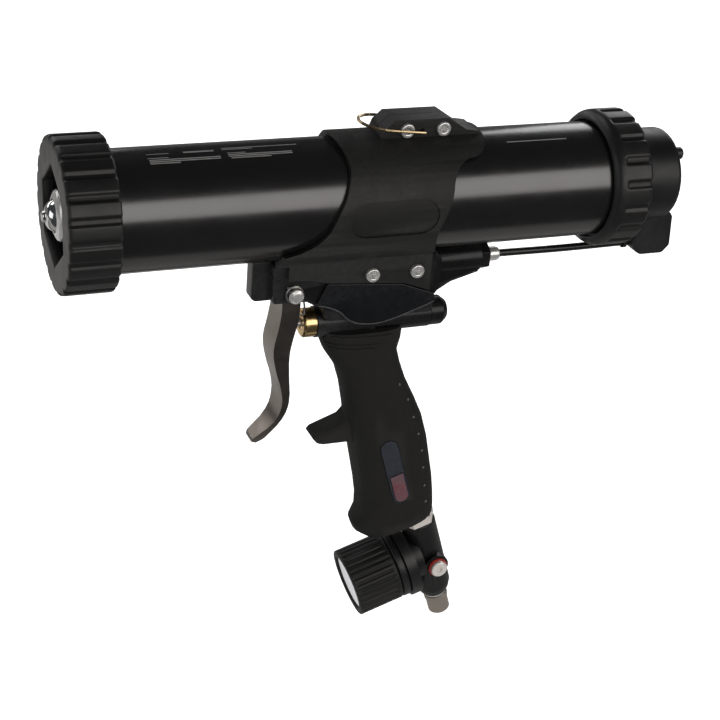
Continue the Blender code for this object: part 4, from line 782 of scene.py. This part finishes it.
coverLip = {
    "paint": "lipHighlightPaint", "radius": 0.42, "side": 14.25, "sides": {"side_cover_left": 1, "side_cover_right": -1},
    "path": ((131.5, -53.6), (137.0, -55.0), (143.4, -58.2), (147.6, -62.4), (152.4, -65.2), (158.5, -66.4),
             (165.2, -66.5), (173.0, -64.9), (181.0, -62.3), (189.0, -59.6), (195.6, -57.0)),
}
neckRidges = {"node": "grip_sleeve", "paint": "gripRubber", "radius": 0.55, "steps": 16,
              "lines": ((138.0, -79.0, 168.0, -80.4), (139.5, -81.4, 165.0, -82.6), (134.0, -74.6, 175.0, -76.0))}


def buildBeadTree():
    tree, given, result = newTree("beadAlongPath", {
        "Radius": "NodeSocketFloat", "Sides": "NodeSocketInt", "Material": "NodeSocketMaterial"})
    line = node(tree, "GeometryNodeMeshToCurve", {"Mesh": given["Geometry"]}).outputs["Curve"]
    smooth = node(tree, "GeometryNodeCurveSplineType", {"Curve": line}, spline_type="CATMULL_ROM").outputs["Curve"]
    even = node(tree, "GeometryNodeResampleCurve", {"Curve": smooth, "Count": 72}).outputs["Curve"]
    circle = node(tree, "GeometryNodeCurvePrimitiveCircle", {"Resolution": given["Sides"], "Radius": given["Radius"]})
    tube = node(tree, "GeometryNodeCurveToMesh", {
        "Curve": even, "Profile Curve": circle.outputs["Curve"], "Fill Caps": True})
    rounded = node(tree, "GeometryNodeSetShadeSmooth", {"Geometry": tube.outputs["Mesh"]}).outputs["Geometry"]
    endTree(tree, result, rounded, given["Material"])
    return tree


def bead(name, tree, points, size, stands):
    mesh = bpy.data.meshes.new(name)
    mesh.from_pydata(points, [(step, step + 1) for step in range(len(points) - 1)], [])
    piece = bpy.data.objects.new(name, mesh)
    bpy.context.scene.collection.objects.link(piece)
    grown(piece, tree, {"Radius": size["radius"] * millimetre, "Sides": 12, "Material": paints[size["paint"]]})
    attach(piece, bodyOf[stands])


def buildBeads():
    tree = buildBeadTree()
    size = coverLip
    for cover, way in size["sides"].items():
        points = [onBarrel(x, -way * size["side"], z) for x, z in size["path"]]
        bead("coverLip" if way > 0 else "coverLipFar", tree, points, size, cover)
    size = neckRidges
    skin = skinOf(size["node"])
    for side in (-1, 1):
        for number, (fromX, fromZ, toX, toZ) in enumerate(size["lines"]):
            points = []
            for step in range(size["steps"] + 1):
                share = step / size["steps"]
                start = onBarrel(fromX + (toX - fromX) * share, 0, fromZ + (toZ - fromZ) * share)
                place = onSkin(skin, start, side)[0]
                if place:
                    points.append(place)
            bead(f"neckRidge{'Left' if side < 0 else 'Right'}{number + 1}", tree, points, size, size["node"])
    print("beads ready:", 2 + 2 * len(neckRidges["lines"]))


# plain printed rules on the barrel: blank bars where a label would be, with nothing to read

barrelPrint = {
    "lift": 0.03, "steps": 6,
    "bars": (  # from x, to x, angle above the left side, bar height in degrees
        (43, 54, 80, 1.0), (61, 76, 80.4, 2.4), (43, 53, 73.6, 1.0), (43.5, 78, 71, 1.4), (43.5, 78, 68.7, 1.4),
        (43.5, 58, 66.4, 1.3), (80, 95, 81, 1.1), (80, 118, 83.4, 1.4), (82, 91, 75, 1.0), (82, 114, 72.6, 1.4),
        (82, 114, 70.3, 1.4), (83, 103, 68, 1.3), (228, 262, 66.5, 1.2), (240, 249, 79, 1.4)),
}


def buildPrint():
    points, faces, steps = [], [], barrelPrint["steps"]
    for left, right, angle, tall in barrelPrint["bars"]:
        base = len(points)
        for step in range(steps + 1):
            turn = math.radians(angle - tall / 2 + tall * step / steps)
            reach = barrel["radius"] + barrelPrint["lift"]
            for x in (left, right):
                points.append(onBarrel(x, -reach * math.cos(turn), reach * math.sin(turn)))
        for step in range(steps):
            low = base + 2 * step
            faces.append((low, low + 1, low + 3, low + 2))
    mesh = bpy.data.meshes.new("barrelRules")
    mesh.from_pydata(points, [], faces)
    mesh.materials.append(paints["palePrint"])
    rules = bpy.data.objects.new("barrelRules", mesh)
    bpy.context.scene.collection.objects.link(rules)
    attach(rules, bodyOf["barrel_tube"])
    print("printed rules ready")


# springs: smooth copies of the three spring meshes; two ride on their bodies, and the trigger's is baked in place

springs = {"regulator_spring": "plate_travel", "valve_spring": "stem_slide"}  # node: the joint that presses on it
legSpring = {"node": "trigger_spring", "still": -50.5, "turning": -58.0}  # heights from the barrel's axis


def wireCopy(name):
    work = bmesh.new()
    work.from_mesh(nodes[name].data)
    bmesh.ops.remove_doubles(work, verts=work.verts, dist=edgeWork["merge"])
    for face in work.faces:
        face.smooth = True
    mesh = bpy.data.meshes.new(pieceName(name))
    work.to_mesh(mesh)
    work.free()
    mesh.materials.append(paintOf(name))
    coil = bpy.data.objects.new(pieceName(name), mesh)
    bpy.context.scene.collection.objects.link(coil)
    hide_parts(name)
    return coil


def buildSprings():
    for name, pressed in springs.items():
        coil = wireCopy(name)
        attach(coil, bodyOf[name])
        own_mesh(coil)
    size = legSpring
    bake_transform(wireCopy(size["node"]))
    print("springs ready:", len(springs) + 1)


# the air hose: a short nylon line held straight between two fittings

hose = {"radius": 2.0, "sides": 24, "steps": 24, "sag": 0.35}


def buildHose():
    low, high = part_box("air_hose")
    level = (low.z + high.z) / 2
    length = high.x - low.x
    path = []
    for step in range(hose["steps"] + 1):
        share = step / hose["steps"]
        drop = hose["sag"] * millimetre * math.sin(math.pi * share) ** 2
        path.append(Vector((low.x + length * share, 0, level - drop)))
    reach = hose["radius"] * millimetre
    mesh = bpy.data.meshes.new("airHose")
    points, faces, sides = [], [], hose["sides"]
    for place in path:
        for side in range(sides):
            angle = 2 * math.pi * side / sides
            points.append(place + Vector((0, reach * math.cos(angle), reach * math.sin(angle))))
    for ring in range(len(path) - 1):
        for side in range(sides):
            after = (side + 1) % sides
            a, b = ring * sides, (ring + 1) * sides
            faces.append((a + side, a + after, b + after, b + side))
    faces += [tuple(range(sides))[::-1], tuple(range(len(points) - sides, len(points)))]
    mesh.from_pydata(points, [], faces)
    mesh.materials.append(paints["hoseNylon"])
    for face in mesh.polygons:
        face.use_smooth = len(face.vertices) == 4
    line = bpy.data.objects.new("airHose", mesh)
    bpy.context.scene.collection.objects.link(line)
    hand(line, "air_hose")
    print("hose ready")


buildCamera()
buildStudio()
dressNodes()
for name, radius in softEdges.items():
    softened(name, radius)
print("hard pieces ready:", len(softEdges))
buildTurned()
buildRepeats()
buildBeads()
buildPrint()
buildSprings()
buildHose()
